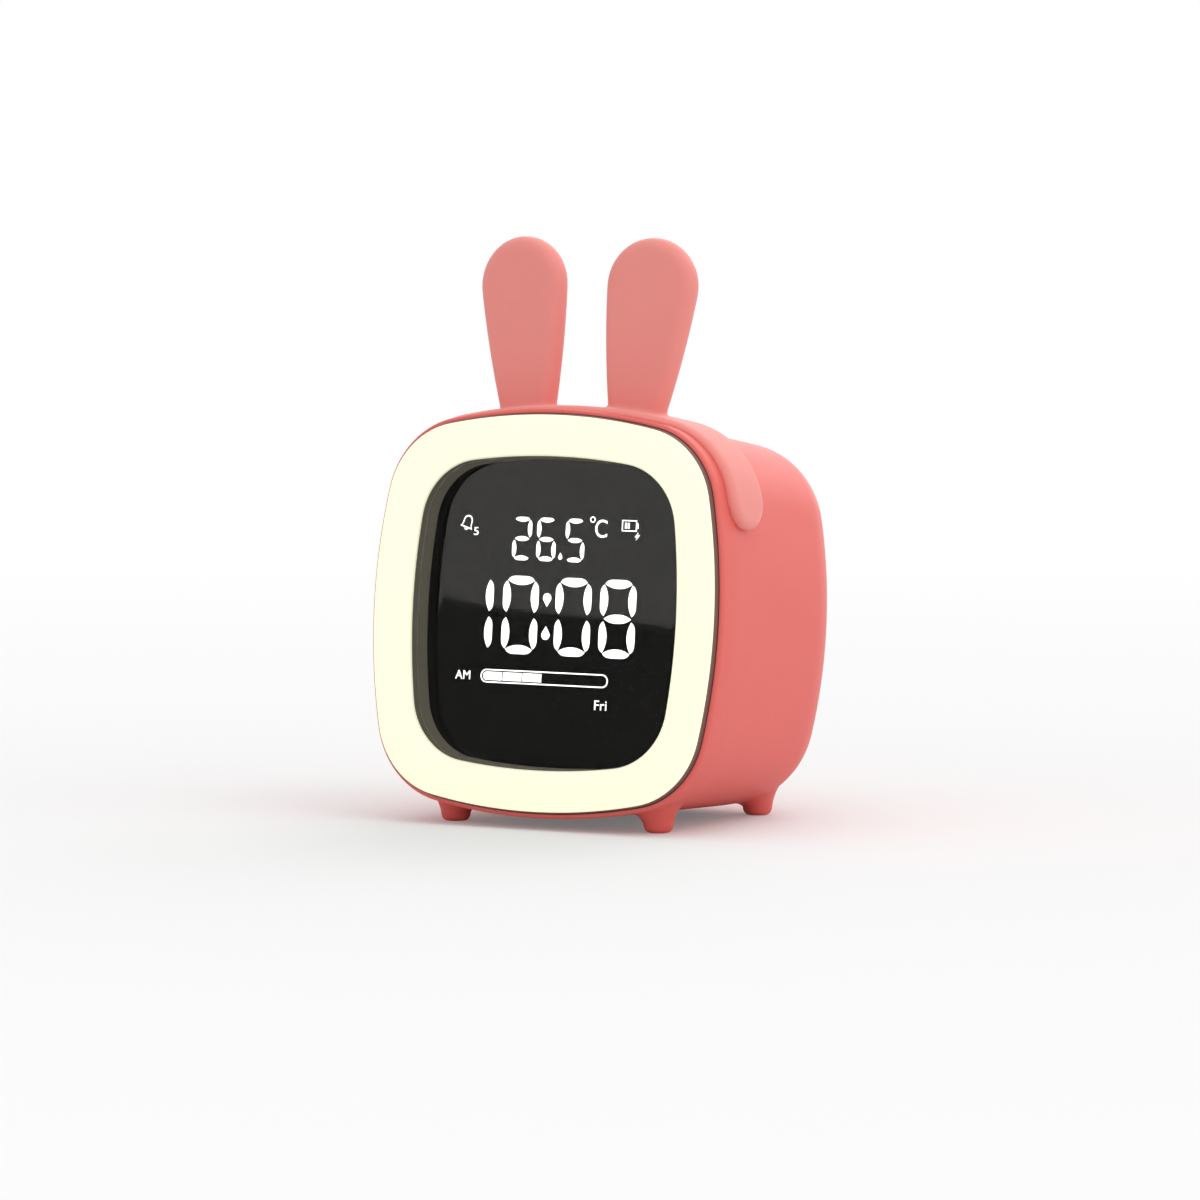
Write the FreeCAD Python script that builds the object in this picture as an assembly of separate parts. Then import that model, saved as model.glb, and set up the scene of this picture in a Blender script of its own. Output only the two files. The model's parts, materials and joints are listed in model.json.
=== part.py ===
"""Rabbit-eared bedside alarm clock with a ring night light, modelled as an assembly.

Everything is drawn in the clock's own frame: X to the right seen from the front, Y from the
front towards the back, Z up along the dial, origin at the middle of the glowing ring's front face.
At the end the whole clock is leaned back onto its four feet and set on Z = 0. Millimetres.
"""
import math
import os

import FreeCAD
import Part

V = FreeCAD.Vector

# Lean of the dial and height of the dial's middle above the table
LEAN = 5.4
DIAL_HEIGHT = 42.1

# Outer housing: a cushion-shaped box whose four sides are slightly crowned
HOUSING_HALF_WIDTH = 39.7
HOUSING_HALF_HEIGHT = 40.0
HOUSING_CORNER_R = 17.7
HOUSING_CROWN_R = 118.6
HOUSING_BACK = 62.0
HOUSING_TAPER = 3.4
BACK_ROUND_R = 18.3
BACK_ROUND_STEPS = 5
INNER_ROUND_STEPS = 3
EDGE_STEPS = 2
WALL = 2.2
RIM_ROUND = 0.8

# Glowing ring
RING_PROUD = 1.0
RING_THICK = 3.0
RING_INSET = 1.1
RING_SIDE_GAP = 0.15
RING_SKIN = 2.0
RING_EDGE_ROUND = 0.7
RING_GROOVE_MARGIN = 2.8

# Window opening in the middle of the ring
WINDOW_SIDE_BORDER = 9.9
WINDOW_TOP_BORDER = 9.4
WINDOW_CORNER_STEP = 4.6
WINDOW_CROWN_R = 129.5
WINDOW_THICK = 2.5
WINDOW_GAP = 0.12
WINDOW_EDGE_ROUND = 0.6

# Funnel-shaped frame behind the window, and the display that it holds
FRAME_LIP = 1.0
FUNNEL_DEPTH = 3.0
FUNNEL_RUN = 1.4
GLASS_THICK = 1.8
GLASS_MARGIN = 1.5
BACKLIGHT_THICK = 3.5
LAYER_GAP = 0.1
FOAM_THICK = 0.5

# White light trough behind the ring
TROUGH_GAP = 0.4
TROUGH_OUTER_WALL = 1.2
TROUGH_INNER_WALL = 1.0
TROUGH_FLOOR = 1.4
LEDS_PER_QUARTER = 4
PATH_STEPS = 800
LED_LENGTH = 3.5
LED_WIDTH = 2.8
LED_HEIGHT = 0.8
LED_WINDOW_GAP = 0.4

# Front board and the posts that tie the front stack to the housing
BOARD_THICK = 1.6
BOARD_INSET = 0.3
POST_R = 2.0
POST_HOLE_GAP = 0.3
POST_LENGTH = 3.6
LUG_THICK = 2.5
LUG_R = 3.2
SMALL_SCREW_R = 1.1
SMALL_PILOT_R = 1.1
SMALL_CLEAR_R = 1.3
SMALL_HEAD_R = 2.1
SMALL_HEAD_HEIGHT = 1.4
LUG_REACH = 9.0
SCREW_TIP_GAP = 0.6
BOARD_BOSS_R = 2.2
BOARD_BOSS_HEIGHT = 4.0

# Battery and its tray
TRAY_THICK = 1.5
TRAY_WALL = 1.2
TRAY_GAP = 0.4
TRAY_WALL_HEIGHT = 5.0
CELL_WIDTH = 50.0
CELL_HEIGHT = 34.0
CELL_THICK = 8.0
CELL_ROUND = 3.0
CELL_PAD = 0.5
CELL_GAP = 0.4
TRAY_ARM_ROOT = 9.0
TRAY_NOTCH_HALF = 4.0

# Back cover and its ledge
COVER_INSET = 10.7
COVER_GAP = 0.25
COVER_RIM = 2.4
COVER_STEPS = 3
LEDGE_WIDTH = 2.0
LEDGE_THICK = 1.6
COVER_SCREW_INSET_X = 8.4
COVER_SCREW_INSET_Z = 8.7
COVER_SCREW_LENGTH = 8.0
COVER_BOSS_R = 3.0
COVER_BOSS_DEPTH = 9.0
COVER_HEAD_SINK_R = 2.4
COVER_SEAT_THICK = 1.8
WEB_THICK = 2.0
WEB_REACH = 12.0

# Speaker and its grille
SPEAKER_Z = 9.5
SPEAKER_R = 13.5
SPEAKER_GAP = 0.3
SPEAKER_WALL = 1.2
SPEAKER_WALL_HEIGHT = 3.5
SPEAKER_RIM_THICK = 1.0
SPEAKER_DEPTH = 7.0
SPEAKER_MAGNET_R = 7.0
SPEAKER_MAGNET_THICK = 2.2
SPEAKER_CONE_R = 11.6
BASKET_WALL = 0.9
CONE_NECK_R = 4.5
CONE_DEPTH = 4.0
CONE_THICK = 0.6
GRILLE_HOLE_R = 1.1
GRILLE_PITCH = 4.0
GRILLE_RINGS = 2
MESH_THICK = 0.3
GASKET_THICK = 0.8
GASKET_WIDTH = 1.6

# Buttons on the back
BUTTON_NAMES = ("set_button", "down_button", "up_button", "lamp_button")
BUTTON_PITCH = 9.0
BUTTON_Z = -9.0
BUTTON_WIDTH = 7.2
BUTTON_HEIGHT = 4.8
BUTTON_PROUD = 1.0
BUTTON_GAP = 0.25
BUTTON_FLANGE = 0.7
BUTTON_FLANGE_THICK = 0.8
BUTTON_FLANGE_GAP = 0.1
BUTTON_EDGE_CUT = 0.5
BUTTON_TRAVEL = 0.6
PUSHER_R = 1.5
PUSHER_LENGTH = 1.0
SWITCH_SIDE = 6.0
SWITCH_HEIGHT = 3.5
STEM_R = 1.6
STEM_GAP = 0.15
STEM_SUNK = 1.6
STEM_PROUD = 0.8
STEM_FLOOR_GAP = 0.1

# Main board behind the back cover
MAIN_BOARD_WIDTH = 34.0
MAIN_BOARD_FOOT_WIDTH = 24.6
MAIN_BOARD_TOP = -4.0
MAIN_BOARD_STEP = -14.4
MAIN_BOARD_BOTTOM = -20.6
MAIN_BOARD_POST_X = 9.4
MAIN_BOARD_POST_Z = -16.8
MAIN_BOARD_POST_R = 2.4
CHIP_SIDE = 7.0
CHIP_THICK = 1.2
CHARGER_X = 6.6
CHARGER_SIDE = 3.5

# Charging socket
SOCKET_Z = -18.0
SOCKET_WIDTH = 9.0
SOCKET_HEIGHT = 3.3
SOCKET_WALL = 0.35
SOCKET_DEPTH_IN_HOUSING = 0.6
TONGUE_WIDTH = 6.6
TONGUE_THICK = 0.7
TONGUE_SET_BACK = 0.8
SOCKET_SLOT_GAP = 0.35
SOCKET_BASE = 1.6

# Headband with its two ears
BAND_MIDDLE_Y = 10.2
BAND_WIDTH = 14.0
BAND_SIDE_THICK = 2.2
BAND_TOP_THICK = 1.5
BAND_EDGE_ROUND = 1.6
BAND_END_Z = 25.0
EAR_BASE_X = 12.3
EAR_LEAN = 5.2
EAR_MIDDLE_Y = 12.1
EAR_THICK = 5.0
EAR_EDGE_ROUND = 2.3
EAR_EDGE_STEPS = 3
EAR_SUNK = 6.0
EAR_TURN = 5.5
EAR_BASE_HALF_WIDTH = 6.0
EAR_TOP_R = 9.6
EAR_HEIGHT = 34.2
PEG_X = 12.5
PEG_Y = 15.4
PEG_R = 1.1
PEG_GAP = 0.15
PEG_BOSS_R = 2.1
PEG_SHORT = 0.4
PEG_BOSS_DROP = 1.4
PEG_SCREW_R = 0.6
PEG_SCREW_LENGTH = 4.0
PEG_SCREW_HEAD_R = 1.7
PEG_SCREW_HEAD_HEIGHT = 1.2

# Touch pad under the roof
TOUCH_HALF_WIDTH = 11.0
TOUCH_FRONT = 20.0
TOUCH_LENGTH = 16.0
TOUCH_THICK = 0.3

# Feet, placed on the table plane under the leaned housing
FOOT_INSET = 16.7
FOOT_FRONT_Y = 5.7
FOOT_BACK_Y = 45.1
FOOT_FLAT_R = 1.2
FOOT_LOW_R = 2.0
FOOT_LOW_HEIGHT = 1.0
FOOT_TOP_R = 4.6
FOOT_FLARE_HEIGHT = 5.2
FOOT_REACH = 9.0
FOOT_WAIST = 0.26
FOOT_STEPS = 4

# Wires inside the housing
WIRE_R = 0.6
LEAD_PITCH = 2.4
LEAD_SIDES = 8
LEAD_STUB = 5.0
LEAD_BEND_STEPS = 3
BEND_SHARE = 0.45
SPEAKER_LEAD_X = 4.0
HEADER_X = 12.5
HEADER_Z = -8.0
HEADER_LENGTH = 6.0
HEADER_WIDTH = 4.5
HEADER_HEIGHT = 3.5
RIBBON_WIDTH = 12.0
RIBBON_THICK = 0.3
RIBBON_RISE = 14.3
RIBBON_STUB = 4.0
RIBBON_END_Z = -15.2

# Places that follow the housing's own size
WINDOW_HALF_WIDTH = HOUSING_HALF_WIDTH - WINDOW_SIDE_BORDER
WINDOW_HALF_HEIGHT = HOUSING_HALF_HEIGHT - WINDOW_TOP_BORDER
WINDOW_CORNER_R = HOUSING_CORNER_R - WINDOW_CORNER_STEP
COVER_HALF_WIDTH = HOUSING_HALF_WIDTH - COVER_INSET
COVER_HALF_HEIGHT = HOUSING_HALF_HEIGHT - COVER_INSET
COVER_SCREW_X = COVER_HALF_WIDTH - COVER_SCREW_INSET_X
COVER_SCREW_Z = COVER_HALF_HEIGHT - COVER_SCREW_INSET_Z
FOOT_X = HOUSING_HALF_WIDTH - FOOT_INSET

# Planes that several pieces share, front to back
SHELL_FRONT = RING_PROUD
RING_SEAT = RING_THICK
FRAME_FRONT = WINDOW_THICK
GLASS_FRONT = FRAME_FRONT + FUNNEL_DEPTH
BACKLIGHT_FRONT = GLASS_FRONT + GLASS_THICK + LAYER_GAP
BOARD_FRONT = BACKLIGHT_FRONT + BACKLIGHT_THICK + FOAM_THICK
BOARD_BACK = BOARD_FRONT + BOARD_THICK
LUG_FRONT = BOARD_FRONT + POST_LENGTH
LUG_BACK = LUG_FRONT + LUG_THICK
TRAY_BACK = LUG_BACK + TRAY_THICK
RING_HALF_WIDTH = HOUSING_HALF_WIDTH - RING_INSET
RING_HALF_HEIGHT = HOUSING_HALF_HEIGHT - RING_INSET
RING_CORNER_R = HOUSING_CORNER_R - RING_INSET
RING_CROWN_R = HOUSING_CROWN_R - RING_INSET
COVER_INNER = HOUSING_BACK - WALL
BUTTON_FLANGE_BACK = COVER_INNER - BUTTON_FLANGE_GAP
PUSHER_TIP = BUTTON_FLANGE_BACK - BUTTON_FLANGE_THICK - PUSHER_LENGTH
SWITCH_TOP = PUSHER_TIP - STEM_PROUD
MAIN_BOARD_BACK = SWITCH_TOP - SWITCH_HEIGHT
MAIN_BOARD_FRONT = MAIN_BOARD_BACK - BOARD_THICK

PARTS = {}


def cushion_wire(half_w, half_h, corner_r, crown_r, y):
    """Closed outline of eight tangent arcs: four crowned sides and four rounded corners."""
    a, b, q = crown_r - half_w, crown_r - half_h, crown_r - corner_r
    spread = math.hypot(a, b)
    reach = math.sqrt(q * q - spread * spread / 4) / spread
    cx, cz = -a / 2 + b * reach, -b / 2 + a * reach
    side = ((cx + a) / q * crown_r - a, cz / q * crown_r)
    top = (cx / q * crown_r, (cz + b) / q * crown_r - b)
    turn = math.atan2((side[1] - cz) + (top[1] - cz), (side[0] - cx) + (top[0] - cx))
    knee = (cx + corner_r * math.cos(turn), cz + corner_r * math.sin(turn))

    def at(p, sx, sz):
        return V(p[0] * sx, y, p[1] * sz)

    edges = [Part.Arc(at(side, 1, -1), V(half_w, y, 0), at(side, 1, 1))]
    edges.append(Part.Arc(at(side, 1, 1), at(knee, 1, 1), at(top, 1, 1)))
    edges.append(Part.Arc(at(top, 1, 1), V(0, y, half_h), at(top, -1, 1)))
    edges.append(Part.Arc(at(top, -1, 1), at(knee, -1, 1), at(side, -1, 1)))
    edges.append(Part.Arc(at(side, -1, 1), V(-half_w, y, 0), at(side, -1, -1)))
    edges.append(Part.Arc(at(side, -1, -1), at(knee, -1, -1), at(top, -1, -1)))
    edges.append(Part.Arc(at(top, -1, -1), V(0, y, -half_h), at(top, 1, -1)))
    edges.append(Part.Arc(at(top, 1, -1), at(knee, 1, -1), at(side, 1, -1)))
    return Part.Wire([e.toShape() for e in edges])


def prism(wire, depth):
    """Solid behind a flat outline, pushed back along Y."""
    return Part.Face(wire).extrude(V(0, depth, 0))


def window_wire(grow, y):
    """The window opening's outline, grown or shrunk evenly."""
    return cushion_wire(WINDOW_HALF_WIDTH + grow, WINDOW_HALF_HEIGHT + grow, WINDOW_CORNER_R + grow,
                        WINDOW_CROWN_R + grow, y)


def ring_wire(grow, y):
    """The glowing ring's outer outline, grown or shrunk evenly."""
    return cushion_wire(RING_HALF_WIDTH + grow, RING_HALF_HEIGHT + grow, RING_CORNER_R + grow,
                        RING_CROWN_R + grow, y)


def housing_shrink(y, inset):
    """How far the housing's sides have drawn in at depth y, for a surface inset from the outside."""
    radius = BACK_ROUND_R - inset
    past = max(0.0, y - (HOUSING_BACK - BACK_ROUND_R))
    straight = HOUSING_TAPER * min(y, HOUSING_BACK) / HOUSING_BACK
    return inset + straight + radius - math.sqrt(max(radius * radius - past * past, 0.0))


def housing_wire(y, inset, plane=None):
    """Section of the housing at depth y, drawn there or on another plane along Y."""
    half_w = HOUSING_HALF_WIDTH - housing_shrink(y, inset)
    half_h = HOUSING_HALF_HEIGHT - housing_shrink(y, inset)
    ratio = half_w / (HOUSING_HALF_WIDTH - inset)
    corner_r = (HOUSING_CORNER_R - inset) * ratio
    return cushion_wire(half_w, half_h, corner_r, HOUSING_CROWN_R * ratio, y if plane is None else plane)


def stack_wire(gap, plane):
    """Outline that clears the housing's inner wall by a gap, as far back as the front board."""
    return housing_wire(BOARD_BACK, WALL + gap, plane)


def housing_solid(inset, front, rim=0.0):
    """Solid inside the housing's outer surface, inset evenly, from depth front to the back."""
    sections = []
    for i in range(EDGE_STEPS if rim > 0 else 0):
        turn = math.radians(90 * i / EDGE_STEPS)
        sections.append(housing_wire(front + rim * (1 - math.cos(turn)), inset + rim * (1 - math.sin(turn))))
    sections.append(housing_wire(front + rim, inset))
    straight_end = HOUSING_BACK - BACK_ROUND_R
    steps = INNER_ROUND_STEPS if inset > 0 else BACK_ROUND_STEPS
    for i in range(steps + 1):
        turn = math.radians(90 * i / steps)
        sections.append(housing_wire(straight_end + (BACK_ROUND_R - inset) * math.sin(turn), inset))
    return Part.makeLoft(sections, True, True)


def cover_wire(grow, y):
    """Outline of the back cover: the housing's own section where it is cut off, grown evenly."""
    ratio = COVER_HALF_WIDTH / HOUSING_HALF_WIDTH
    return cushion_wire(COVER_HALF_WIDTH + grow, COVER_HALF_HEIGHT + grow,
                        HOUSING_CORNER_R * ratio + grow, HOUSING_CROWN_R * ratio + grow, y)


def meeting_depth(half_w, inset):
    """Depth at which the surface inset from the outside has drawn in to a half width."""
    radius = BACK_ROUND_R - inset
    y = HOUSING_BACK
    for _ in range(6):
        across = half_w - HOUSING_HALF_WIDTH + HOUSING_TAPER * y / HOUSING_BACK + BACK_ROUND_R
        y = HOUSING_BACK - BACK_ROUND_R + math.sqrt(radius * radius - across * across)
    return y


def ledge_y():
    """Depth of the ledge that the back cover rests on."""
    return meeting_depth(COVER_HALF_WIDTH, 0) - COVER_RIM


def cover_dome(grow, inset, front, steps):
    """Solid inside the cover's outline that ends at the back in the housing's inset surface."""
    radius = BACK_ROUND_R - inset
    edge = meeting_depth(COVER_HALF_WIDTH + grow, inset)
    straight_end = HOUSING_BACK - BACK_ROUND_R
    start = math.asin((edge - straight_end) / radius)
    sections = [cover_wire(grow, front), cover_wire(grow, edge)]
    for i in range(1, steps + 1):
        turn = start + (math.pi / 2 - start) * i / steps
        sections.append(housing_wire(straight_end + radius * math.sin(turn), inset))
    return Part.makeLoft(sections, True, True)


def cylinder_y(x, z, radius, front, back):
    """Round bar along Y."""
    return Part.makeCylinder(radius, back - front, V(x, front, z), V(0, 1, 0))


def box(x0, x1, y0, y1, z0, z1):
    """Box between two corners."""
    return Part.makeBox(x1 - x0, y1 - y0, z1 - z0, V(x0, y0, z0))


def corners(x, z):
    """The four mirrored places of a corner feature."""
    return [(x, z), (-x, z), (-x, -z), (x, -z)]


def fuse_all(shapes):
    """One solid from overlapping ones."""
    return shapes[0].multiFuse(shapes[1:]).removeSplitter()


def pill_wire(width, height, x, y, z):
    """Pill-shaped outline round a middle."""
    r = height / 2
    half = width / 2 - r
    points = [V(x - half, y, z + r), V(x + half, y, z + r), V(x + half + r, y, z),
              V(x + half, y, z - r), V(x - half, y, z - r), V(x - half - r, y, z)]
    edges = [Part.LineSegment(points[0], points[1]), Part.Arc(points[1], points[2], points[3]),
             Part.LineSegment(points[3], points[4]), Part.Arc(points[4], points[5], points[0])]
    return Part.Wire([e.toShape() for e in edges])


def pill(width, height, front, back, x, z):
    """Bar along Y with a pill-shaped section."""
    return prism(pill_wire(width, height, x, front, z), back - front)


def soft_slab(outline, back, radius, draw=1):
    """Slab from Y = 0 to its back with a rounded front edge, drawn in, or opened out for a cut."""
    sections = []
    for i in range(EDGE_STEPS):
        turn = math.radians(90 * i / EDGE_STEPS)
        sections.append(outline(-draw * radius * (1 - math.sin(turn)), radius * (1 - math.cos(turn))))
    sections.append(outline(0, radius))
    sections.append(outline(0, back))
    return Part.makeLoft(sections, True, True)


def diagonal_lug(x, z, radius, front, back, thick, reach):
    """Round boss at a corner with a web that runs out to the housing's wall."""
    length = math.hypot(x, z)
    ux, uz = x / length, z / length
    px, pz = -uz * thick / 2, ux * thick / 2
    ends = [(x + px, z + pz), (x - px, z - pz)]
    ends += [(x + ux * reach - px, z + uz * reach - pz), (x + ux * reach + px, z + uz * reach + pz)]
    outline = [V(ex, front, ez) for ex, ez in ends]
    web = prism(Part.makePolygon(outline + [outline[0]]), back - front)
    return cylinder_y(x, z, radius, front, back).fuse(web)


def main_shell():
    """Coral housing with its front rebate, back opening, inner lugs and bosses."""
    outer = housing_solid(0.0, SHELL_FRONT, RIM_ROUND)
    shell = outer.cut(housing_solid(WALL, SHELL_FRONT - 1.0))
    shell = shell.cut(prism(ring_wire(RING_SIDE_GAP, 0), RING_SEAT))
    shell = shell.cut(prism(cover_wire(COVER_GAP, ledge_y()), HOUSING_BACK))
    flange = prism(cover_wire(WALL, ledge_y() - LEDGE_THICK), LEDGE_THICK)
    flange = flange.cut(prism(cover_wire(-LEDGE_WIDTH, ledge_y() - LEDGE_THICK), LEDGE_THICK))
    added = [flange]
    for x, z in post_places():
        added.append(diagonal_lug(x, z, LUG_R, LUG_FRONT, LUG_BACK, 2 * LUG_R, LUG_REACH))
    for x, z in corners(COVER_SCREW_X, COVER_SCREW_Z):
        front = ledge_y() - COVER_BOSS_DEPTH
        added.append(diagonal_lug(x, z, COVER_BOSS_R, front, ledge_y(), WEB_THICK, WEB_REACH))
    for x in (-PEG_X, PEG_X):
        height = HOUSING_HALF_HEIGHT - peg_boss_z()
        added.append(Part.makeCylinder(PEG_BOSS_R, height, V(x, PEG_Y, peg_boss_z())))
    added = [s.common(outer) for s in added]
    shell = fuse_all([shell] + added)
    for x, z in post_places():
        shell = shell.cut(cylinder_y(x, z, SMALL_CLEAR_R, LUG_FRONT - 1, LUG_BACK + 1))
    for x, z in corners(COVER_SCREW_X, COVER_SCREW_Z):
        shell = shell.cut(cylinder_y(x, z, SMALL_PILOT_R, ledge_y() - COVER_BOSS_DEPTH + 1, HOUSING_BACK))
    for x in (-PEG_X, PEG_X):
        shell = shell.cut(Part.makeCylinder(PEG_R + PEG_GAP, WALL * 6, V(x, PEG_Y, peg_boss_z() - 1)))
    return shell


def peg_boss_z():
    """Height of the flat face under the roof that a headband screw bears on."""
    return HOUSING_HALF_HEIGHT - WALL - PEG_BOSS_DROP - HOUSING_TAPER * PEG_Y / HOUSING_BACK


def foot(x, y):
    """One moulded foot in the table's frame: a rounded tip that flares into the underside."""
    tip_turn = math.sqrt(0.5)
    knee = V(FOOT_FLAT_R + (FOOT_LOW_R - FOOT_FLAT_R) * tip_turn, 0, FOOT_LOW_HEIGHT * (1 - tip_turn))
    low = V(FOOT_LOW_R, 0, FOOT_LOW_HEIGHT)
    high = V(FOOT_TOP_R, 0, FOOT_FLARE_HEIGHT)
    chord = high.sub(low)
    waist = low.add(chord * 0.5).add(V(-chord.z, 0, chord.x) * FOOT_WAIST)
    profile = [V(0, 0, 0), V(FOOT_FLAT_R, 0, 0), knee]
    for i in range(FOOT_STEPS + 1):
        t = i / FOOT_STEPS
        profile.append(low * (1 - t) ** 2 + waist * (2 * t * (1 - t)) + high * t ** 2)
    profile += [V(FOOT_TOP_R, 0, FOOT_REACH), V(0, 0, FOOT_REACH), V(0, 0, 0)]
    solid = Part.Face(Part.makePolygon(profile)).revolve(V(0, 0, 0), V(0, 0, 1), 360)
    solid.translate(V(x, y, 0))
    return solid


def stand(shape):
    """Lean a shape back and lift it from the clock's frame to the table's frame."""
    placed = shape.copy()
    placed.rotate(V(0, 0, 0), V(1, 0, 0), -LEAN)
    placed.translate(V(0, 0, DIAL_HEIGHT))
    return placed


def shell_on_feet():
    """The housing standing on its moulded feet, each blended into the underside."""
    shell = stand(main_shell())
    hollow = stand(housing_solid(WALL, SHELL_FRONT - 1.0))
    feet = [foot(x, y).cut(hollow) for y in (FOOT_FRONT_Y, FOOT_BACK_Y) for x in (-FOOT_X, FOOT_X)]
    return fuse_all([shell] + feet)


def light_ring():
    """Milky ring: a plate with a groove on its back that spreads the light."""
    ring = soft_slab(ring_wire, RING_THICK, RING_EDGE_ROUND)
    ring = ring.cut(soft_slab(window_wire, RING_THICK + 1, RING_EDGE_ROUND, -1))
    groove = prism(ring_wire(-RING_GROOVE_MARGIN, RING_SKIN), RING_THICK)
    groove = groove.cut(prism(window_wire(RING_GROOVE_MARGIN, RING_SKIN), RING_THICK))
    return ring.cut(groove)


def display_window():
    """Smoked clear plate that fills the ring."""
    def outline(grow, y):
        return window_wire(grow - WINDOW_GAP, y)

    return soft_slab(outline, WINDOW_THICK, WINDOW_EDGE_ROUND)


def display_frame():
    """Black frame whose inner walls draw in like a funnel from the window to the display."""
    block = prism(window_wire(-WINDOW_GAP, FRAME_FRONT), BOARD_FRONT - FRAME_FRONT)
    mouth = window_wire(-FRAME_LIP, FRAME_FRONT)
    throat = window_wire(-FRAME_LIP - FUNNEL_RUN, GLASS_FRONT)
    funnel = Part.makeLoft([mouth, throat], True, True)
    pocket = prism(window_wire(-GLASS_MARGIN, GLASS_FRONT), BOARD_FRONT)
    return block.cut(funnel).cut(pocket)


def display_glass():
    """Dark display glass behind the funnel."""
    return prism(window_wire(-GLASS_MARGIN - LAYER_GAP, GLASS_FRONT), GLASS_THICK)


def backlight():
    """White light guide behind the display glass."""
    return prism(window_wire(-GLASS_MARGIN - LAYER_GAP, BACKLIGHT_FRONT), BACKLIGHT_THICK)


def backlight_foam():
    """Foam frame that presses the light guide forward off the front board."""
    front = BACKLIGHT_FRONT + BACKLIGHT_THICK
    pad = prism(window_wire(-GLASS_MARGIN - 0.5, front), FOAM_THICK)
    return pad.cut(prism(window_wire(-GLASS_MARGIN - 6.5, front), FOAM_THICK))


def on_light_path(share):
    """Place and direction on the middle of the light trough, a share of the way up its first quarter."""
    far = HOUSING_HALF_WIDTH - housing_shrink(BOARD_BACK, WALL + TROUGH_GAP + TROUGH_OUTER_WALL)
    near = WINDOW_HALF_WIDTH + LAYER_GAP + TROUGH_INNER_WALL
    path = window_wire((far + near) / 2 - WINDOW_HALF_WIDTH, 0)
    points = path.discretize(Number=PATH_STEPS + 1)
    along = path.Edges[0].Length / 2 + share * path.Length / 4
    at = round(PATH_STEPS * along / path.Length)
    ahead = points[at + 1].sub(points[at - 1])
    return points[at].x, points[at].z, math.degrees(math.atan2(ahead.z, ahead.x))


def led_places():
    """Evenly spaced places along the middle of the light trough: (x, z, angle of the path)."""
    found = []
    for i in range(LEDS_PER_QUARTER):
        x, z, angle = on_light_path((i + 0.5) / LEDS_PER_QUARTER)
        found += [(x, z, angle), (-x, z, -angle), (-x, -z, angle), (x, -z, -angle)]
    return found


def post_places():
    """The posts stand at the trough's four corners, midway between two lamps."""
    x, z, _ = on_light_path(0.5)
    return corners(x, z)


def board_screw_places():
    """The board's screws sit at the trough's sides, midway between two lamps."""
    x, z, _ = on_light_path(1 / LEDS_PER_QUARTER)
    return corners(x, z)


def led_block(x, z, angle, length, width, front, back):
    """Small block turned along the trough."""
    block = box(-length / 2, length / 2, front, back, -width / 2, width / 2)
    block.rotate(V(0, 0, 0), V(0, 1, 0), -angle)
    block.translate(V(x, 0, z))
    return block


def light_trough():
    """White reflector trough behind the ring, with a window in its floor for each lamp."""
    outer = prism(stack_wire(TROUGH_GAP, RING_SEAT), BOARD_FRONT - RING_SEAT)
    trough = outer.cut(prism(window_wire(LAYER_GAP, RING_SEAT), BOARD_FRONT))
    depth = BOARD_FRONT - TROUGH_FLOOR - RING_SEAT
    hollow = prism(stack_wire(TROUGH_GAP + TROUGH_OUTER_WALL, RING_SEAT), depth)
    hollow = hollow.cut(prism(window_wire(LAYER_GAP + TROUGH_INNER_WALL, RING_SEAT), depth))
    trough = trough.cut(hollow)
    bosses = []
    for x, z in post_places():
        bosses.append(cylinder_y(x, z, POST_R, BOARD_FRONT - TROUGH_FLOOR, LUG_FRONT))
    for x, z in board_screw_places():
        bosses.append(cylinder_y(x, z, BOARD_BOSS_R, BOARD_FRONT - BOARD_BOSS_HEIGHT, BOARD_FRONT))
    trough = fuse_all([trough] + bosses)
    for x, z in post_places():
        trough = trough.cut(cylinder_y(x, z, SMALL_PILOT_R, BOARD_FRONT, LUG_FRONT + 1))
    for x, z in board_screw_places():
        trough = trough.cut(cylinder_y(x, z, SMALL_PILOT_R, BOARD_FRONT - BOARD_BOSS_HEIGHT + 0.6, BOARD_FRONT))
    for x, z, angle in led_places():
        length, width = LED_LENGTH + 2 * LED_WINDOW_GAP, LED_WIDTH + 2 * LED_WINDOW_GAP
        front = BOARD_FRONT - TROUGH_FLOOR - 1
        trough = trough.cut(led_block(x, z, angle, length, width, front, BOARD_FRONT + 1))
    return trough


def ring_leds():
    """Surface-mounted lamps on the front board."""
    return Part.makeCompound([led_block(x, z, angle, LED_LENGTH, LED_WIDTH, BOARD_FRONT - LED_HEIGHT, BOARD_FRONT)
                              for x, z, angle in led_places()])


def front_board():
    """Circuit board behind the ring and the display."""
    board = prism(stack_wire(TROUGH_GAP + BOARD_INSET, BOARD_FRONT), BOARD_THICK)
    for x, z in post_places():
        board = board.cut(cylinder_y(x, z, POST_R + POST_HOLE_GAP, BOARD_FRONT - 1, BOARD_BACK + 1))
    for x, z in board_screw_places():
        board = board.cut(cylinder_y(x, z, SMALL_CLEAR_R, BOARD_FRONT - 1, BOARD_BACK + 1))
    return board


def screw_forward(x, z, seat, length, shank_r, head_r, head_height):
    """Screw with its head on the back side of a face, its shank pointing to the front."""
    head = cylinder_y(x, z, head_r, seat, seat + head_height)
    return head.fuse(cylinder_y(x, z, shank_r, seat - length, seat)).removeSplitter()


def board_screws():
    """Screws that hold the front board to the trough."""
    return Part.makeCompound([screw_forward(x, z, BOARD_BACK, 4.6, SMALL_SCREW_R - 0.05, SMALL_HEAD_R, SMALL_HEAD_HEIGHT)
                              for x, z in board_screw_places()])


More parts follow.
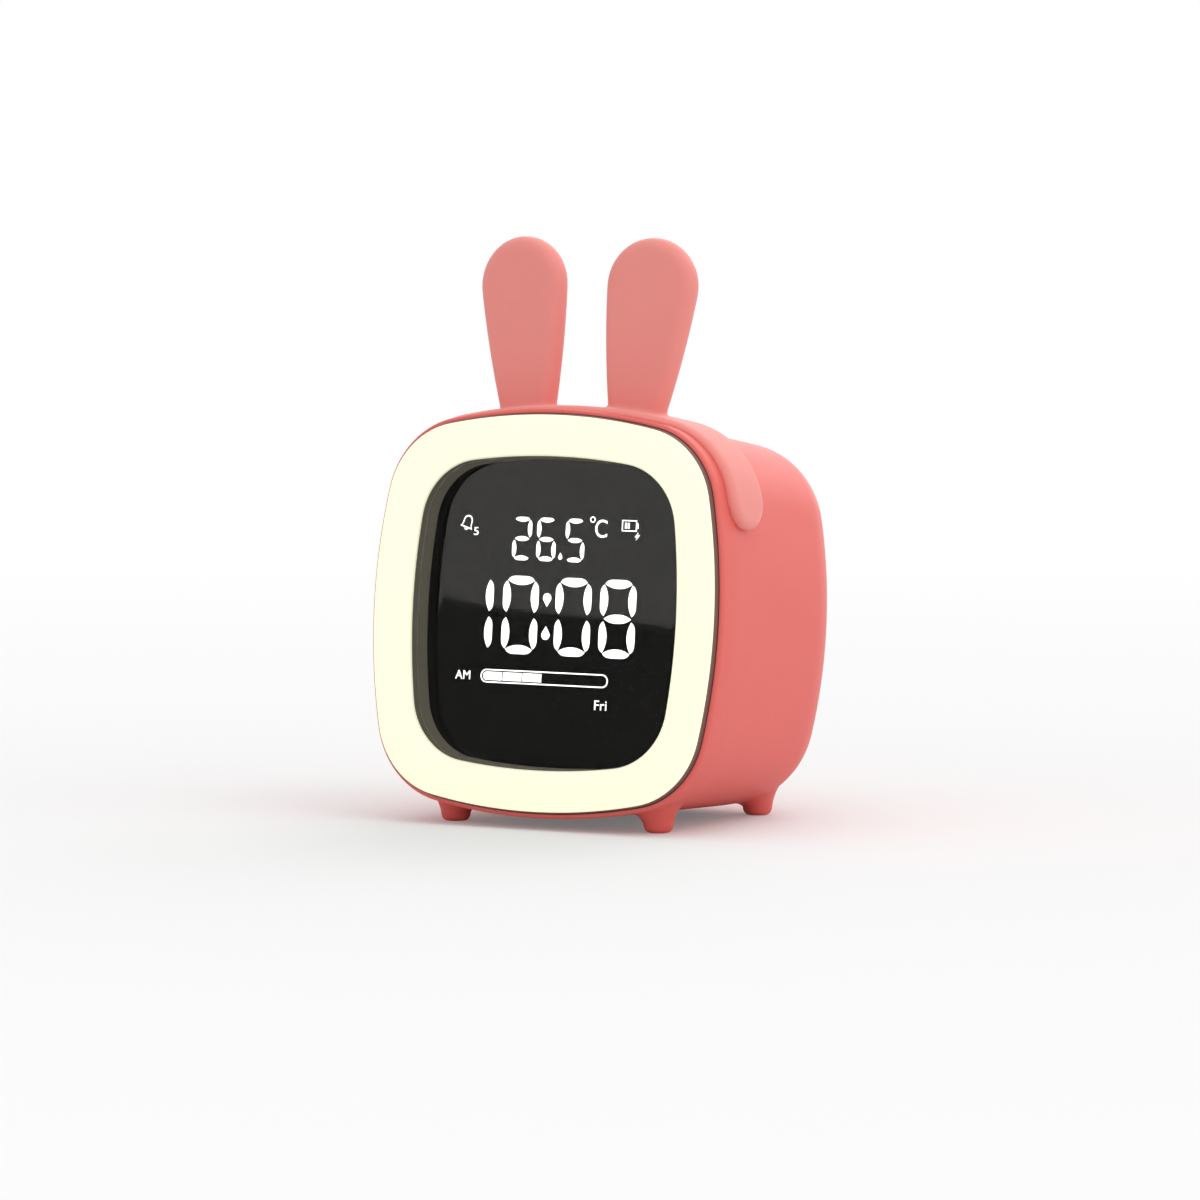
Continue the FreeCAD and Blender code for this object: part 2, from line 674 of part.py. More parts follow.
def frame_screws():
    """Screws through the battery tray and the housing's lugs into the trough's posts."""
    length = TRAY_BACK - BOARD_FRONT - SCREW_TIP_GAP
    return Part.makeCompound([screw_forward(x, z, TRAY_BACK, length, SMALL_SCREW_R - 0.05, SMALL_HEAD_R, SMALL_HEAD_HEIGHT)
                              for x, z in post_places()])


def battery_tray():
    """Tray behind the front stack: four arms to the lugs and a walled pocket for the cell."""
    half_w, half_h = CELL_WIDTH / 2 + CELL_GAP, CELL_HEIGHT / 2 + CELL_GAP
    plate = box(-half_w - TRAY_WALL, half_w + TRAY_WALL, LUG_BACK, TRAY_BACK, -half_h - TRAY_WALL, half_h + TRAY_WALL)
    walls = box(-half_w - TRAY_WALL, half_w + TRAY_WALL, LUG_BACK, TRAY_BACK + TRAY_WALL_HEIGHT,
                -half_h - TRAY_WALL, half_h + TRAY_WALL)
    walls = walls.cut(box(-half_w, half_w, TRAY_BACK, TRAY_BACK + TRAY_WALL_HEIGHT + 1, -half_h, half_h))
    notch = box(-TRAY_NOTCH_HALF, TRAY_NOTCH_HALF, TRAY_BACK, TRAY_BACK + TRAY_WALL_HEIGHT + 1, half_h - 1, half_h + TRAY_WALL + 1)
    arms = []
    for x, z in post_places():
        sx, sz = math.copysign(1, x), math.copysign(1, z)
        arms.append(cylinder_y(x, z, LUG_R, LUG_BACK, TRAY_BACK))
        root = [V(sx * (half_w - TRAY_ARM_ROOT), LUG_BACK, sz * half_h)]
        root.append(V(sx * half_w, LUG_BACK, sz * (half_h - TRAY_ARM_ROOT)))
        tip = [V(x + sx * LUG_R * 0.5, LUG_BACK, z - sz * LUG_R * 0.85)]
        tip.append(V(x - sx * LUG_R * 0.85, LUG_BACK, z + sz * LUG_R * 0.5))
        arms.append(prism(Part.makePolygon([root[0], root[1], tip[0], tip[1], root[0]]), TRAY_THICK))
    tray = fuse_all([plate, walls.cut(notch)] + arms).common(housing_solid(WALL + TRAY_GAP, SHELL_FRONT))
    for x, z in post_places():
        tray = tray.cut(cylinder_y(x, z, SMALL_CLEAR_R, LUG_BACK - 1, TRAY_BACK + 1))
    return tray


def battery_cell():
    """Pouch cell with rounded long edges."""
    cell = box(-CELL_WIDTH / 2, CELL_WIDTH / 2, TRAY_BACK + CELL_PAD, TRAY_BACK + CELL_PAD + CELL_THICK,
               -CELL_HEIGHT / 2, CELL_HEIGHT / 2)
    long_edges = [e for e in cell.Edges if e.BoundBox.ZLength > CELL_HEIGHT - 1e-6]
    return cell.makeFillet(CELL_ROUND, long_edges)


def battery_pad():
    """Double-sided foam between the tray and the cell."""
    return box(-CELL_WIDTH / 2 + 4, CELL_WIDTH / 2 - 4, TRAY_BACK, TRAY_BACK + CELL_PAD, -CELL_HEIGHT / 2 + 4, CELL_HEIGHT / 2 - 4)


def grille_places():
    """Rings of holes round the middle of the speaker."""
    places = [(0.0, SPEAKER_Z)]
    for ring in range(1, GRILLE_RINGS + 1):
        for i in range(6 * ring):
            turn = 2 * math.pi * i / (6 * ring)
            places.append((GRILLE_PITCH * ring * math.cos(turn), SPEAKER_Z + GRILLE_PITCH * ring * math.sin(turn)))
    return places


def button_places():
    """Middle of each button, left to right seen from the front."""
    first = -BUTTON_PITCH * (len(BUTTON_NAMES) - 1) / 2
    return [(first + BUTTON_PITCH * i, BUTTON_Z) for i in range(len(BUTTON_NAMES))]


def rear_cover():
    """Back cover, domed like the housing, with its grille, button holes, socket slot and bosses."""
    outer = cover_dome(0, 0, ledge_y(), COVER_STEPS)
    cover = outer.cut(cover_dome(-COVER_RIM, WALL, ledge_y() - 1, COVER_STEPS))
    bosses = []
    for x, z in corners(COVER_SCREW_X, COVER_SCREW_Z):
        bosses.append(cylinder_y(x, z, COVER_BOSS_R, ledge_y(), HOUSING_BACK).common(outer))
    for x in (-MAIN_BOARD_POST_X, MAIN_BOARD_POST_X):
        bosses.append(cylinder_y(x, MAIN_BOARD_POST_Z, MAIN_BOARD_POST_R, MAIN_BOARD_BACK, COVER_INNER + 1))
    wall = cylinder_y(0, SPEAKER_Z, SPEAKER_R + SPEAKER_GAP + SPEAKER_WALL, COVER_INNER - SPEAKER_WALL_HEIGHT, HOUSING_BACK - 0.5)
    wall = wall.cut(cylinder_y(0, SPEAKER_Z, SPEAKER_R + SPEAKER_GAP, COVER_INNER - SPEAKER_WALL_HEIGHT - 1, COVER_INNER))
    bosses.append(wall.common(outer))
    cover = fuse_all([cover] + bosses)
    cover = cover.cut(cylinder_y(0, SPEAKER_Z, SPEAKER_R + SPEAKER_GAP, ledge_y(), COVER_INNER))
    margin = 2 * (BUTTON_FLANGE + BUTTON_GAP)
    row = BUTTON_PITCH * (len(BUTTON_NAMES) - 1) + BUTTON_WIDTH
    cover = cover.cut(pill(row + margin, BUTTON_HEIGHT + margin, ledge_y(), COVER_INNER, 0, BUTTON_Z))
    for x, z in corners(COVER_SCREW_X, COVER_SCREW_Z):
        seat = ledge_y() + COVER_SEAT_THICK
        cover = cover.cut(cylinder_y(x, z, SMALL_CLEAR_R, ledge_y() - 1, HOUSING_BACK + 1))
        cover = cover.cut(cylinder_y(x, z, COVER_HEAD_SINK_R, seat, HOUSING_BACK + 1))
    for x in (-MAIN_BOARD_POST_X, MAIN_BOARD_POST_X):
        cover = cover.cut(cylinder_y(x, MAIN_BOARD_POST_Z, SMALL_PILOT_R, MAIN_BOARD_BACK - 1, COVER_INNER - 1))
    for x, z in grille_places():
        cover = cover.cut(cylinder_y(x, z, GRILLE_HOLE_R, COVER_INNER - 1, HOUSING_BACK + 1))
    for x, z in button_places():
        cover = cover.cut(pill(BUTTON_WIDTH + 2 * BUTTON_GAP, BUTTON_HEIGHT + 2 * BUTTON_GAP,
                               COVER_INNER - 1, HOUSING_BACK + 1, x, z))
    slot = pill(SOCKET_WIDTH + 2 * SOCKET_SLOT_GAP, SOCKET_HEIGHT + 2 * SOCKET_SLOT_GAP,
                COVER_INNER - 1, HOUSING_BACK + 1, 0, SOCKET_Z)
    return cover.cut(slot)


def cover_screws():
    """Screws sunk in the back cover."""
    seat = ledge_y() + COVER_SEAT_THICK
    return Part.makeCompound([screw_forward(x, z, seat, COVER_SCREW_LENGTH, SMALL_SCREW_R - 0.05, SMALL_HEAD_R, SMALL_HEAD_HEIGHT)
                              for x, z in corners(COVER_SCREW_X, COVER_SCREW_Z)])


def button(x, z):
    """Key cap with a retaining flange inside the cover and a pusher on the switch."""
    top = HOUSING_BACK + BUTTON_PROUD
    soft = 2 * BUTTON_EDGE_CUT
    sections = [pill_wire(BUTTON_WIDTH, BUTTON_HEIGHT, x, BUTTON_FLANGE_BACK - BUTTON_FLANGE_THICK, z),
                pill_wire(BUTTON_WIDTH, BUTTON_HEIGHT, x, top - BUTTON_EDGE_CUT, z),
                pill_wire(BUTTON_WIDTH - soft, BUTTON_HEIGHT - soft, x, top, z)]
    cap = Part.makeLoft(sections, True, True)
    flange = pill(BUTTON_WIDTH + 2 * BUTTON_FLANGE, BUTTON_HEIGHT + 2 * BUTTON_FLANGE,
                  BUTTON_FLANGE_BACK - BUTTON_FLANGE_THICK, BUTTON_FLANGE_BACK, x, z)
    pusher = cylinder_y(x, z, PUSHER_R, PUSHER_TIP, BUTTON_FLANGE_BACK)
    return fuse_all([cap, flange, pusher])


def switch_stem(x, z):
    """Plunger of a push switch."""
    return cylinder_y(x, z, STEM_R, SWITCH_TOP - STEM_SUNK, PUSHER_TIP)


def switch_bodies():
    """Four push switches on the main board."""
    bodies = []
    half = SWITCH_SIDE / 2
    for x, z in button_places():
        body = box(x - half, x + half, MAIN_BOARD_BACK, SWITCH_TOP, z - half, z + half)
        well = cylinder_y(x, z, STEM_R + STEM_GAP, SWITCH_TOP - STEM_SUNK - BUTTON_TRAVEL - STEM_FLOOR_GAP, SWITCH_TOP + 1)
        bodies.append(body.cut(well))
    return Part.makeCompound(bodies)


def main_board():
    """Circuit board behind the buttons."""
    board = box(-MAIN_BOARD_WIDTH / 2, MAIN_BOARD_WIDTH / 2, MAIN_BOARD_FRONT, MAIN_BOARD_BACK,
                MAIN_BOARD_STEP, MAIN_BOARD_TOP)
    board = fuse_all([board, box(-MAIN_BOARD_FOOT_WIDTH / 2, MAIN_BOARD_FOOT_WIDTH / 2, MAIN_BOARD_FRONT,
                                 MAIN_BOARD_BACK, MAIN_BOARD_BOTTOM, MAIN_BOARD_TOP)])
    for x in (-MAIN_BOARD_POST_X, MAIN_BOARD_POST_X):
        board = board.cut(cylinder_y(x, MAIN_BOARD_POST_Z, SMALL_CLEAR_R, MAIN_BOARD_FRONT - 1, MAIN_BOARD_BACK + 1))
    return board


def main_board_screws():
    """Screws from the front side of the main board into the cover's posts."""
    screws = []
    for x in (-MAIN_BOARD_POST_X, MAIN_BOARD_POST_X):
        screw = screw_forward(0, 0, 0, 6.0, SMALL_SCREW_R - 0.05, SMALL_HEAD_R, SMALL_HEAD_HEIGHT)
        screw.rotate(V(0, 0, 0), V(0, 0, 1), 180)
        screw.translate(V(x, MAIN_BOARD_FRONT, MAIN_BOARD_POST_Z))
        screws.append(screw)
    return Part.makeCompound(screws)


def board_chips():
    """Controller and charger chips on the front side of the main board."""
    chips = []
    for x, z, side in ((0, BUTTON_Z, CHIP_SIDE), (CHARGER_X, BUTTON_Z, CHARGER_SIDE)):
        half = side / 2
        chips.append(box(x - half, x + half, MAIN_BOARD_FRONT - CHIP_THICK, MAIN_BOARD_FRONT, z - half, z + half))
    return Part.makeCompound(chips)


def charging_socket():
    """Metal shell of the charging socket, open to the back."""
    back = HOUSING_BACK - SOCKET_DEPTH_IN_HOUSING
    shell = pill(SOCKET_WIDTH, SOCKET_HEIGHT, MAIN_BOARD_BACK, back, 0, SOCKET_Z)
    hollow = pill(SOCKET_WIDTH - 2 * SOCKET_WALL, SOCKET_HEIGHT - 2 * SOCKET_WALL,
                  MAIN_BOARD_BACK + SOCKET_BASE, back + 1, 0, SOCKET_Z)
    return shell.cut(hollow)


def socket_tongue():
    """Contact tongue inside the charging socket."""
    back = HOUSING_BACK - SOCKET_DEPTH_IN_HOUSING - TONGUE_SET_BACK
    return box(-TONGUE_WIDTH / 2, TONGUE_WIDTH / 2, MAIN_BOARD_BACK + SOCKET_BASE, back,
               SOCKET_Z - TONGUE_THICK / 2, SOCKET_Z + TONGUE_THICK / 2)


def cone_y(low_r, high_r, front, back):
    """Round bar about the speaker's axis whose radius changes from front to back."""
    return Part.makeCone(low_r, high_r, back - front, V(0, front, SPEAKER_Z), V(0, 1, 0))


def speaker_parts():
    """Speaker basket, cone, gasket and grille mesh."""
    mesh_front = COVER_INNER - MESH_THICK
    gasket_front = mesh_front - GASKET_THICK
    rim_front = gasket_front - SPEAKER_RIM_THICK
    magnet_front = rim_front - SPEAKER_DEPTH
    magnet_back = magnet_front + SPEAKER_MAGNET_THICK
    mesh = cylinder_y(0, SPEAKER_Z, SPEAKER_R - 1, mesh_front, COVER_INNER)
    gasket = cylinder_y(0, SPEAKER_Z, SPEAKER_R, gasket_front, mesh_front)
    gasket = gasket.cut(cylinder_y(0, SPEAKER_Z, SPEAKER_R - GASKET_WIDTH, gasket_front - 1, mesh_front + 1))
    rim = cylinder_y(0, SPEAKER_Z, SPEAKER_R, rim_front, gasket_front)
    magnet = cylinder_y(0, SPEAKER_Z, SPEAKER_MAGNET_R, magnet_front, magnet_back)
    body = cone_y(SPEAKER_MAGNET_R, SPEAKER_CONE_R + BASKET_WALL, magnet_back, rim_front)
    basket = fuse_all([rim, magnet, body])
    basket = basket.cut(cone_y(SPEAKER_MAGNET_R - BASKET_WALL, SPEAKER_CONE_R, magnet_back, rim_front))
    basket = basket.cut(cylinder_y(0, SPEAKER_Z, SPEAKER_CONE_R, rim_front, gasket_front))
    paper_front, paper_back = gasket_front - CONE_DEPTH, gasket_front - CONE_THICK
    paper = cone_y(CONE_NECK_R, SPEAKER_CONE_R, paper_front, paper_back)
    paper = paper.cut(cone_y(CONE_NECK_R - CONE_THICK, SPEAKER_CONE_R - CONE_THICK,
                             paper_front + CONE_THICK, paper_back))
    return basket, paper, gasket, mesh


def band_wire(y):
    """Outline of the headband's outer surface, thicker at the sides than on the roof."""
    shrink = housing_shrink(BAND_MIDDLE_Y, 0)
    return cushion_wire(HOUSING_HALF_WIDTH - shrink + BAND_SIDE_THICK, HOUSING_HALF_HEIGHT - shrink + BAND_TOP_THICK,
                        HOUSING_CORNER_R - shrink + BAND_TOP_THICK, HOUSING_CROWN_R - shrink + BAND_TOP_THICK, y)


def band_solid():
    """Raised band over the roof and down both sides, with round ends and softened edges."""
    half = BAND_WIDTH / 2
    reach = HOUSING_HALF_WIDTH + 2 * BAND_SIDE_THICK
    roof = HOUSING_HALF_HEIGHT + 2 * BAND_TOP_THICK
    slab = box(-reach, reach, BAND_MIDDLE_Y - half, BAND_MIDDLE_Y + half, BAND_END_Z, roof)
    ends = Part.makeCylinder(half, 2 * reach, V(-reach, BAND_MIDDLE_Y, BAND_END_Z), V(1, 0, 0))
    stencil = slab.fuse(ends).removeSplitter()
    raised = prism(band_wire(BAND_MIDDLE_Y - BAND_WIDTH), 2 * BAND_WIDTH)
    inside = prism(housing_wire(BAND_MIDDLE_Y, 2 * WALL, BAND_MIDDLE_Y - BAND_WIDTH), 2 * BAND_WIDTH)
    body = raised.common(stencil).cut(inside).Solids[0]
    return body.makeFillet(BAND_EDGE_ROUND, [e for e in body.Edges if on_band_rim(e, raised)])


def on_band_rim(edge, raised):
    """True if an edge runs round the band's outer surface rather than across it."""
    p = edge.valueAt((edge.FirstParameter + edge.LastParameter) / 2)
    outside = raised.Shells[0].distToShape(Part.Vertex(p))[0] < 0.01
    across = abs(p.y - BAND_MIDDLE_Y)
    drop = min(p.z - BAND_END_Z, 0.0)
    return outside and abs(math.hypot(across, drop) - BAND_WIDTH / 2) < 0.01


def ear_wire(inset, y):
    """Teardrop outline of an ear: two straight sides tangent to a round top, drawn in evenly."""
    base, top_r = EAR_BASE_HALF_WIDTH - inset, EAR_TOP_R - inset
    middle_z = EAR_HEIGHT - EAR_TOP_R
    slant = math.hypot(base, middle_z)
    turn = math.atan2(middle_z, -base) - math.asin(top_r / slant)
    run = math.sqrt(slant * slant - top_r * top_r)
    touch = V(base + run * math.cos(turn), y, run * math.sin(turn))
    mirrored = V(-touch.x, y, touch.z)
    root, foot_point = V(-base, y, -EAR_SUNK), V(base, y, -EAR_SUNK)
    edges = [Part.LineSegment(V(-base, y, 0), root), Part.LineSegment(root, foot_point),
             Part.LineSegment(foot_point, V(base, y, 0)), Part.LineSegment(V(base, y, 0), touch),
             Part.Arc(touch, V(0, y, middle_z + top_r), mirrored), Part.LineSegment(mirrored, V(-base, y, 0))]
    return Part.Wire([e.toShape() for e in edges])


def ear(side):
    """One upright ear: a flat paddle with rounded edges, leaning and turned outwards."""
    sections = []
    for i in range(2 * EAR_EDGE_STEPS + 1):
        turn = math.radians(90 * (i / EAR_EDGE_STEPS - 1))
        step = EAR_EDGE_ROUND * (1 - math.cos(turn))
        flat = (EAR_THICK / 2 - EAR_EDGE_ROUND) * (1 if i > EAR_EDGE_STEPS else -1)
        sections.append(ear_wire(step, EAR_MIDDLE_Y + flat + EAR_EDGE_ROUND * math.sin(turn)))
    paddle = Part.makeLoft(sections, True, True)
    paddle.rotate(V(0, EAR_MIDDLE_Y, 0), V(0, 0, 1), side * EAR_TURN)
    paddle.rotate(V(0, 0, 0), V(0, 1, 0), side * EAR_LEAN)
    paddle.translate(V(side * EAR_BASE_X, 0, HOUSING_HALF_HEIGHT))
    return paddle


def ear_headband():
    """Soft headband: the band, both ears and the pegs that pass through the roof."""
    shapes = [band_solid(), ear(-1), ear(1)]
    band = fuse_all(shapes).cut(housing_solid(0.0, SHELL_FRONT))
    pegs = []
    for x in (-PEG_X, PEG_X):
        bottom = peg_boss_z() + PEG_SHORT
        top = HOUSING_HALF_HEIGHT - housing_shrink(PEG_Y, 0)
        pegs.append(Part.makeCylinder(PEG_R, top - bottom, V(x, PEG_Y, bottom)))
    band = fuse_all([band] + pegs)
    for x in (-PEG_X, PEG_X):
        band = band.cut(Part.makeCylinder(PEG_SCREW_R, PEG_SCREW_LENGTH, V(x, PEG_Y, peg_boss_z())))
    return band


def headband_screws():
    """Small screws from inside the roof into the headband's pegs."""
    screws = []
    for x in (-PEG_X, PEG_X):
        z = peg_boss_z()
        shank = Part.makeCylinder(PEG_SCREW_R - 0.03, PEG_SCREW_LENGTH - 0.5, V(x, PEG_Y, z))
        head = Part.makeCylinder(PEG_SCREW_HEAD_R, PEG_SCREW_HEAD_HEIGHT, V(x, PEG_Y, z - PEG_SCREW_HEAD_HEIGHT))
        screws.append(shank.fuse(head))
    return Part.makeCompound(screws)


def touch_pad():
    """Copper foil stuck under the roof, which senses a pat on the head."""
    skin = housing_solid(WALL, SHELL_FRONT).cut(housing_solid(WALL + TOUCH_THICK, SHELL_FRONT))
    patch = box(-TOUCH_HALF_WIDTH, TOUCH_HALF_WIDTH, TOUCH_FRONT, TOUCH_FRONT + TOUCH_LENGTH,
                HOUSING_HALF_HEIGHT / 2, HOUSING_HALF_HEIGHT)
    return skin.common(patch)


def stations_along(points):
    """Places and directions along straight runs joined by tangent arcs as large as the runs allow."""
    found = [(points[0], points[1].sub(points[0]).normalize())]
    for before, here, after in zip(points, points[1:], points[2:]):
        back, on = before.sub(here), after.sub(here)
        half = back.getAngle(on) / 2
        cut = BEND_SHARE * min(back.Length, on.Length)
        back.normalize()
        on.normalize()
        radius = cut * math.tan(half)
        inward = back.add(on).normalize()
        knee = here.add(inward * (radius / math.sin(half) - radius))
        arc = Part.Arc(here.add(back * cut), knee, here.add(on * cut))
        for i in range(LEAD_BEND_STEPS + 1):
            at = arc.FirstParameter + (arc.LastParameter - arc.FirstParameter) * i / LEAD_BEND_STEPS
            found.append((arc.value(at), V(*arc.tangent(at)[0]).normalize()))
    found.append((points[-1], points[-1].sub(points[-2]).normalize()))
    return found


def swept(points, outline):
    """Solid along a route, its section given by corners as (across, up) with across kept level."""
    sections = []
    for place, ahead in stations_along(points):
        across = V(1, 0, 0).sub(ahead * ahead.x).normalize()
        up = ahead.cross(across)
        ring = [place.add(across * a).add(up * b) for a, b in outline]
        sections.append(Part.makePolygon(ring + [ring[0]]))
    return Part.makeLoft(sections, True, True)


def lead(points):
    """Insulated wire along a route, drawn with an eight-sided section."""
    turns = [2 * math.pi * (i + 0.5) / LEAD_SIDES for i in range(LEAD_SIDES)]
    return swept(points, [(WIRE_R * math.cos(t), WIRE_R * math.sin(t)) for t in turns])


def lead_headers():
    """Connector blocks on the front side of the main board, one for the cell and one for the speaker."""
    blocks = []
    for x in (-HEADER_X, HEADER_X):
        blocks.append(box(x - HEADER_LENGTH / 2, x + HEADER_LENGTH / 2, MAIN_BOARD_FRONT - HEADER_HEIGHT, MAIN_BOARD_FRONT,
                          HEADER_Z - HEADER_WIDTH / 2, HEADER_Z + HEADER_WIDTH / 2))
    return Part.makeCompound(blocks)


def battery_leads():
    """Two leads from the cell's top edge, over the tray, to their connector."""
    leads = []
    y = TRAY_BACK + CELL_PAD + CELL_THICK / 2
    end_y = MAIN_BOARD_FRONT - HEADER_HEIGHT
    top = CELL_HEIGHT / 2
    for side in (-1, 1):
        x = side * LEAD_PITCH / 2
        end_x = x - HEADER_X
        leads.append(lead([V(x, y, top), V(x, y, top + LEAD_STUB), V(x, y + CELL_THICK, top + LEAD_STUB),
                           V(end_x, end_y - LEAD_STUB, HEADER_Z), V(end_x, end_y, HEADER_Z)]))
    return Part.makeCompound(leads)


def speaker_leads():
    """Two leads from the front of the speaker's magnet to their connector."""
    leads = []
    y = COVER_INNER - MESH_THICK - GASKET_THICK - SPEAKER_RIM_THICK - SPEAKER_DEPTH
    end_y = MAIN_BOARD_FRONT - HEADER_HEIGHT
    for side in (-1, 1):
        x = SPEAKER_LEAD_X + side * LEAD_PITCH / 2
        end_x = HEADER_X + side * LEAD_PITCH / 2
        leads.append(lead([V(x, y, SPEAKER_Z), V(x, y - LEAD_STUB, SPEAKER_Z),
                           V(end_x, end_y - LEAD_STUB, HEADER_Z), V(end_x, end_y, HEADER_Z)]))
    return Part.makeCompound(leads)


def ribbon_cable():
    """Flat cable from the front board, under the battery tray, to the main board."""
    across, up = RIBBON_WIDTH / 2, RIBBON_THICK / 2
    start_z = RIBBON_RISE - HOUSING_HALF_HEIGHT
    route = [V(0, BOARD_BACK, start_z), V(0, TRAY_BACK + RIBBON_STUB, start_z),
             V(0, MAIN_BOARD_FRONT - RIBBON_STUB, RIBBON_END_Z), V(0, MAIN_BOARD_FRONT, RIBBON_END_Z)]
    return swept(route, [(-across, -up), (across, -up), (across, up), (-across, up)])


def keep(name, shape, leaned=True):
    """File a finished shape under its name, in the table's frame."""
    PARTS[name] = stand(shape) if leaned else shape


def build():
    """Make every piece and put the clock in the middle of its own footprint."""
    keep("main_shell", shell_on_feet(), leaned=False)
    keep("rear_cover", rear_cover())
    keep("cover_screws", cover_screws())
    keep("light_ring", light_ring())
    keep("light_trough", light_trough())
    keep("ring_leds", ring_leds())
    keep("front_board", front_board())
    keep("board_screws", board_screws())
    keep("frame_screws", frame_screws())
    keep("display_window", display_window())
    keep("display_frame", display_frame())
    keep("display_glass", display_glass())
    keep("backlight_guide", backlight())
    keep("backlight_foam", backlight_foam())
    keep("battery_tray", battery_tray())
    keep("battery_pad", battery_pad())
    keep("battery_cell", battery_cell())
    keep("lead_headers", lead_headers())
    keep("battery_leads", battery_leads())
    for name, (x, z) in zip(BUTTON_NAMES, button_places()):
        keep(name, button(x, z))
        keep(name.replace("button", "switch_stem"), switch_stem(x, z))
    keep("switch_bodies", switch_bodies())
    keep("main_board", main_board())
    keep("main_board_screws", main_board_screws())
    keep("board_chips", board_chips())
    keep("charging_socket", charging_socket())
    keep("socket_tongue", socket_tongue())
    for name, shape in zip(("speaker_basket", "speaker_cone", "speaker_gasket", "grille_mesh"), speaker_parts()):
        keep(name, shape)
    keep("speaker_leads", speaker_leads())
    keep("ribbon_cable", ribbon_cable())
    keep("ear_headband", ear_headband())
    keep("headband_screws", headband_screws())
    keep("touch_pad", touch_pad())
    bounds = FreeCAD.BoundBox()
    for shape in PARTS.values():
        bounds.add(shape.optimalBoundingBox(False, False))
    shift = V(0, -bounds.Center.y, 0)
    os.makedirs("parts", exist_ok=True)
    for name, shape in PARTS.items():
        shape.translate(shift)
        shape.exportStep(f"parts/{name}.step")
        print(name, "solids", len(shape.Solids), "valid", shape.isValid(), "volume", round(shape.Volume, 1))
    print("shift", round(shift.y, 4), "height", round(bounds.ZLength, 3))


build()
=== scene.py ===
"""Rabbit-eared bedside clock with a glowing ring: the finishes and the rounded forms of its pieces.

Sizes are millimetres in the clock's own frame: X right, Y from the ring's front face to the back,
Z up along the dial. Stance leans that frame back onto the feet and turns it into metres.
"""
import json
import logging
import math
from dataclasses import dataclass, field
from enum import Enum
from typing import Iterable, Optional, Sequence

import bmesh
import bpy
from mathutils import Matrix, Vector
from mathutils.bvhtree import BVHTree


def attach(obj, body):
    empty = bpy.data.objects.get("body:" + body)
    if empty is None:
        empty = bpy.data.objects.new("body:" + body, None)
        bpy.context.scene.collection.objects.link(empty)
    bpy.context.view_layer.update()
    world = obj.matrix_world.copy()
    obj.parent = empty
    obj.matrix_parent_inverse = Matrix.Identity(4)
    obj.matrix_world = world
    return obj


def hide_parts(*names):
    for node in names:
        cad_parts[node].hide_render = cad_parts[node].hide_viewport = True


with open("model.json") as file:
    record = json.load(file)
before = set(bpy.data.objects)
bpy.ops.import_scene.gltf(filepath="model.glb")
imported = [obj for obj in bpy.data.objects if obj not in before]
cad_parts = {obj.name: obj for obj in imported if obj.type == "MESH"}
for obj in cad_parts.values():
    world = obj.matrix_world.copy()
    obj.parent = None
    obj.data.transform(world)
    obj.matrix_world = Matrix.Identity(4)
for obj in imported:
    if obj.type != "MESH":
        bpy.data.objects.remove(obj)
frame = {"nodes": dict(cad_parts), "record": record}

MM = 0.001
CLOCK = "clock"
LOG = logging.getLogger("clock")
# How deep light sinks into soft rubber, in millimetres, and how much of red, green and blue does.
SOFT_DEPTH = 1.2
SOFT_SHARES = (1.0, 0.4, 0.3)
# Tracks of a board: their gap and length as shares of the distance between rows.
TRACK_GAP = 0.1
TRACK_LENGTH = 3
# Length of one wave of the wave texture at a scale of one.
WAVE_LENGTH = 0.31416
# A face with this many corners is a flat cap and stays flat, so that what it mirrors isn't bent.
CAP_CORNERS = 8

Loop = list[Vector]
Corners = Sequence[tuple[float, float]]
Place = tuple[Vector, Vector, Vector]


def linear(hex_colour: str) -> tuple[float, float, float, float]:
    """Turn an sRGB hex colour into linear RGBA.

    Args:
        hex_colour: six hex digits behind a hash.

    Returns:
        Linear red, green, blue and a full alpha.
    """
    parts = [int(hex_colour[i:i + 2], 16) / 255 for i in (1, 3, 5)]
    r, g, b = (c / 12.92 if c <= 0.04045 else ((c + 0.055) / 1.055) ** 2.4 for c in parts)
    return r, g, b, 1.0


def put(tree: bpy.types.NodeTree, kind: str, feeds: Optional[dict] = None,
        **settings: object) -> bpy.types.Node:
    """Add one node with its settings and inputs.

    Args:
        tree: the node tree.
        kind: the node's type name.
        feeds: input name or index, to a value or to another node's output socket.
        settings: properties set on the node itself.

    Returns:
        The new node.
    """
    made = tree.nodes.new(kind)
    for key, value in settings.items():
        setattr(made, key, value)
    for key, value in (feeds or {}).items():
        if isinstance(value, bpy.types.NodeSocket):
            tree.links.new(value, made.inputs[key])
        else:
            made.inputs[key].default_value = value
    return made


def linked(name: str, data: bpy.types.ID) -> bpy.types.Object:
    """Put a new object into the scene.

    Args:
        name: its name.
        data: the mesh, word, light or camera that it holds.

    Returns:
        The object.
    """
    obj = bpy.data.objects.new(name, data)
    bpy.context.scene.collection.objects.link(obj)
    return obj


def full_turn(steps: int) -> list[float]:
    """Angles spread evenly round a circle."""
    return [2 * math.pi * i / steps for i in range(steps)]


def quarter_turn(steps: int) -> list[float]:
    """Angles from nought to a right angle, both included."""
    return [math.pi / 2 * i / steps for i in range(steps + 1)]


def eased(t: float, start: float, leave: float, end: float, arrive: float) -> float:
    """A smooth cubic from one value to another.

    Args:
        t: how far along, from 0 to 1.
        start: the first value.
        leave: the slope there.
        end: the last value.
        arrive: the slope there.

    Returns:
        The value.
    """
    late = -2 * t ** 3 + 3 * t ** 2
    return (1 - late) * start + (t ** 3 - 2 * t ** 2 + t) * leave + late * end + (t ** 3 - t ** 2) * arrive


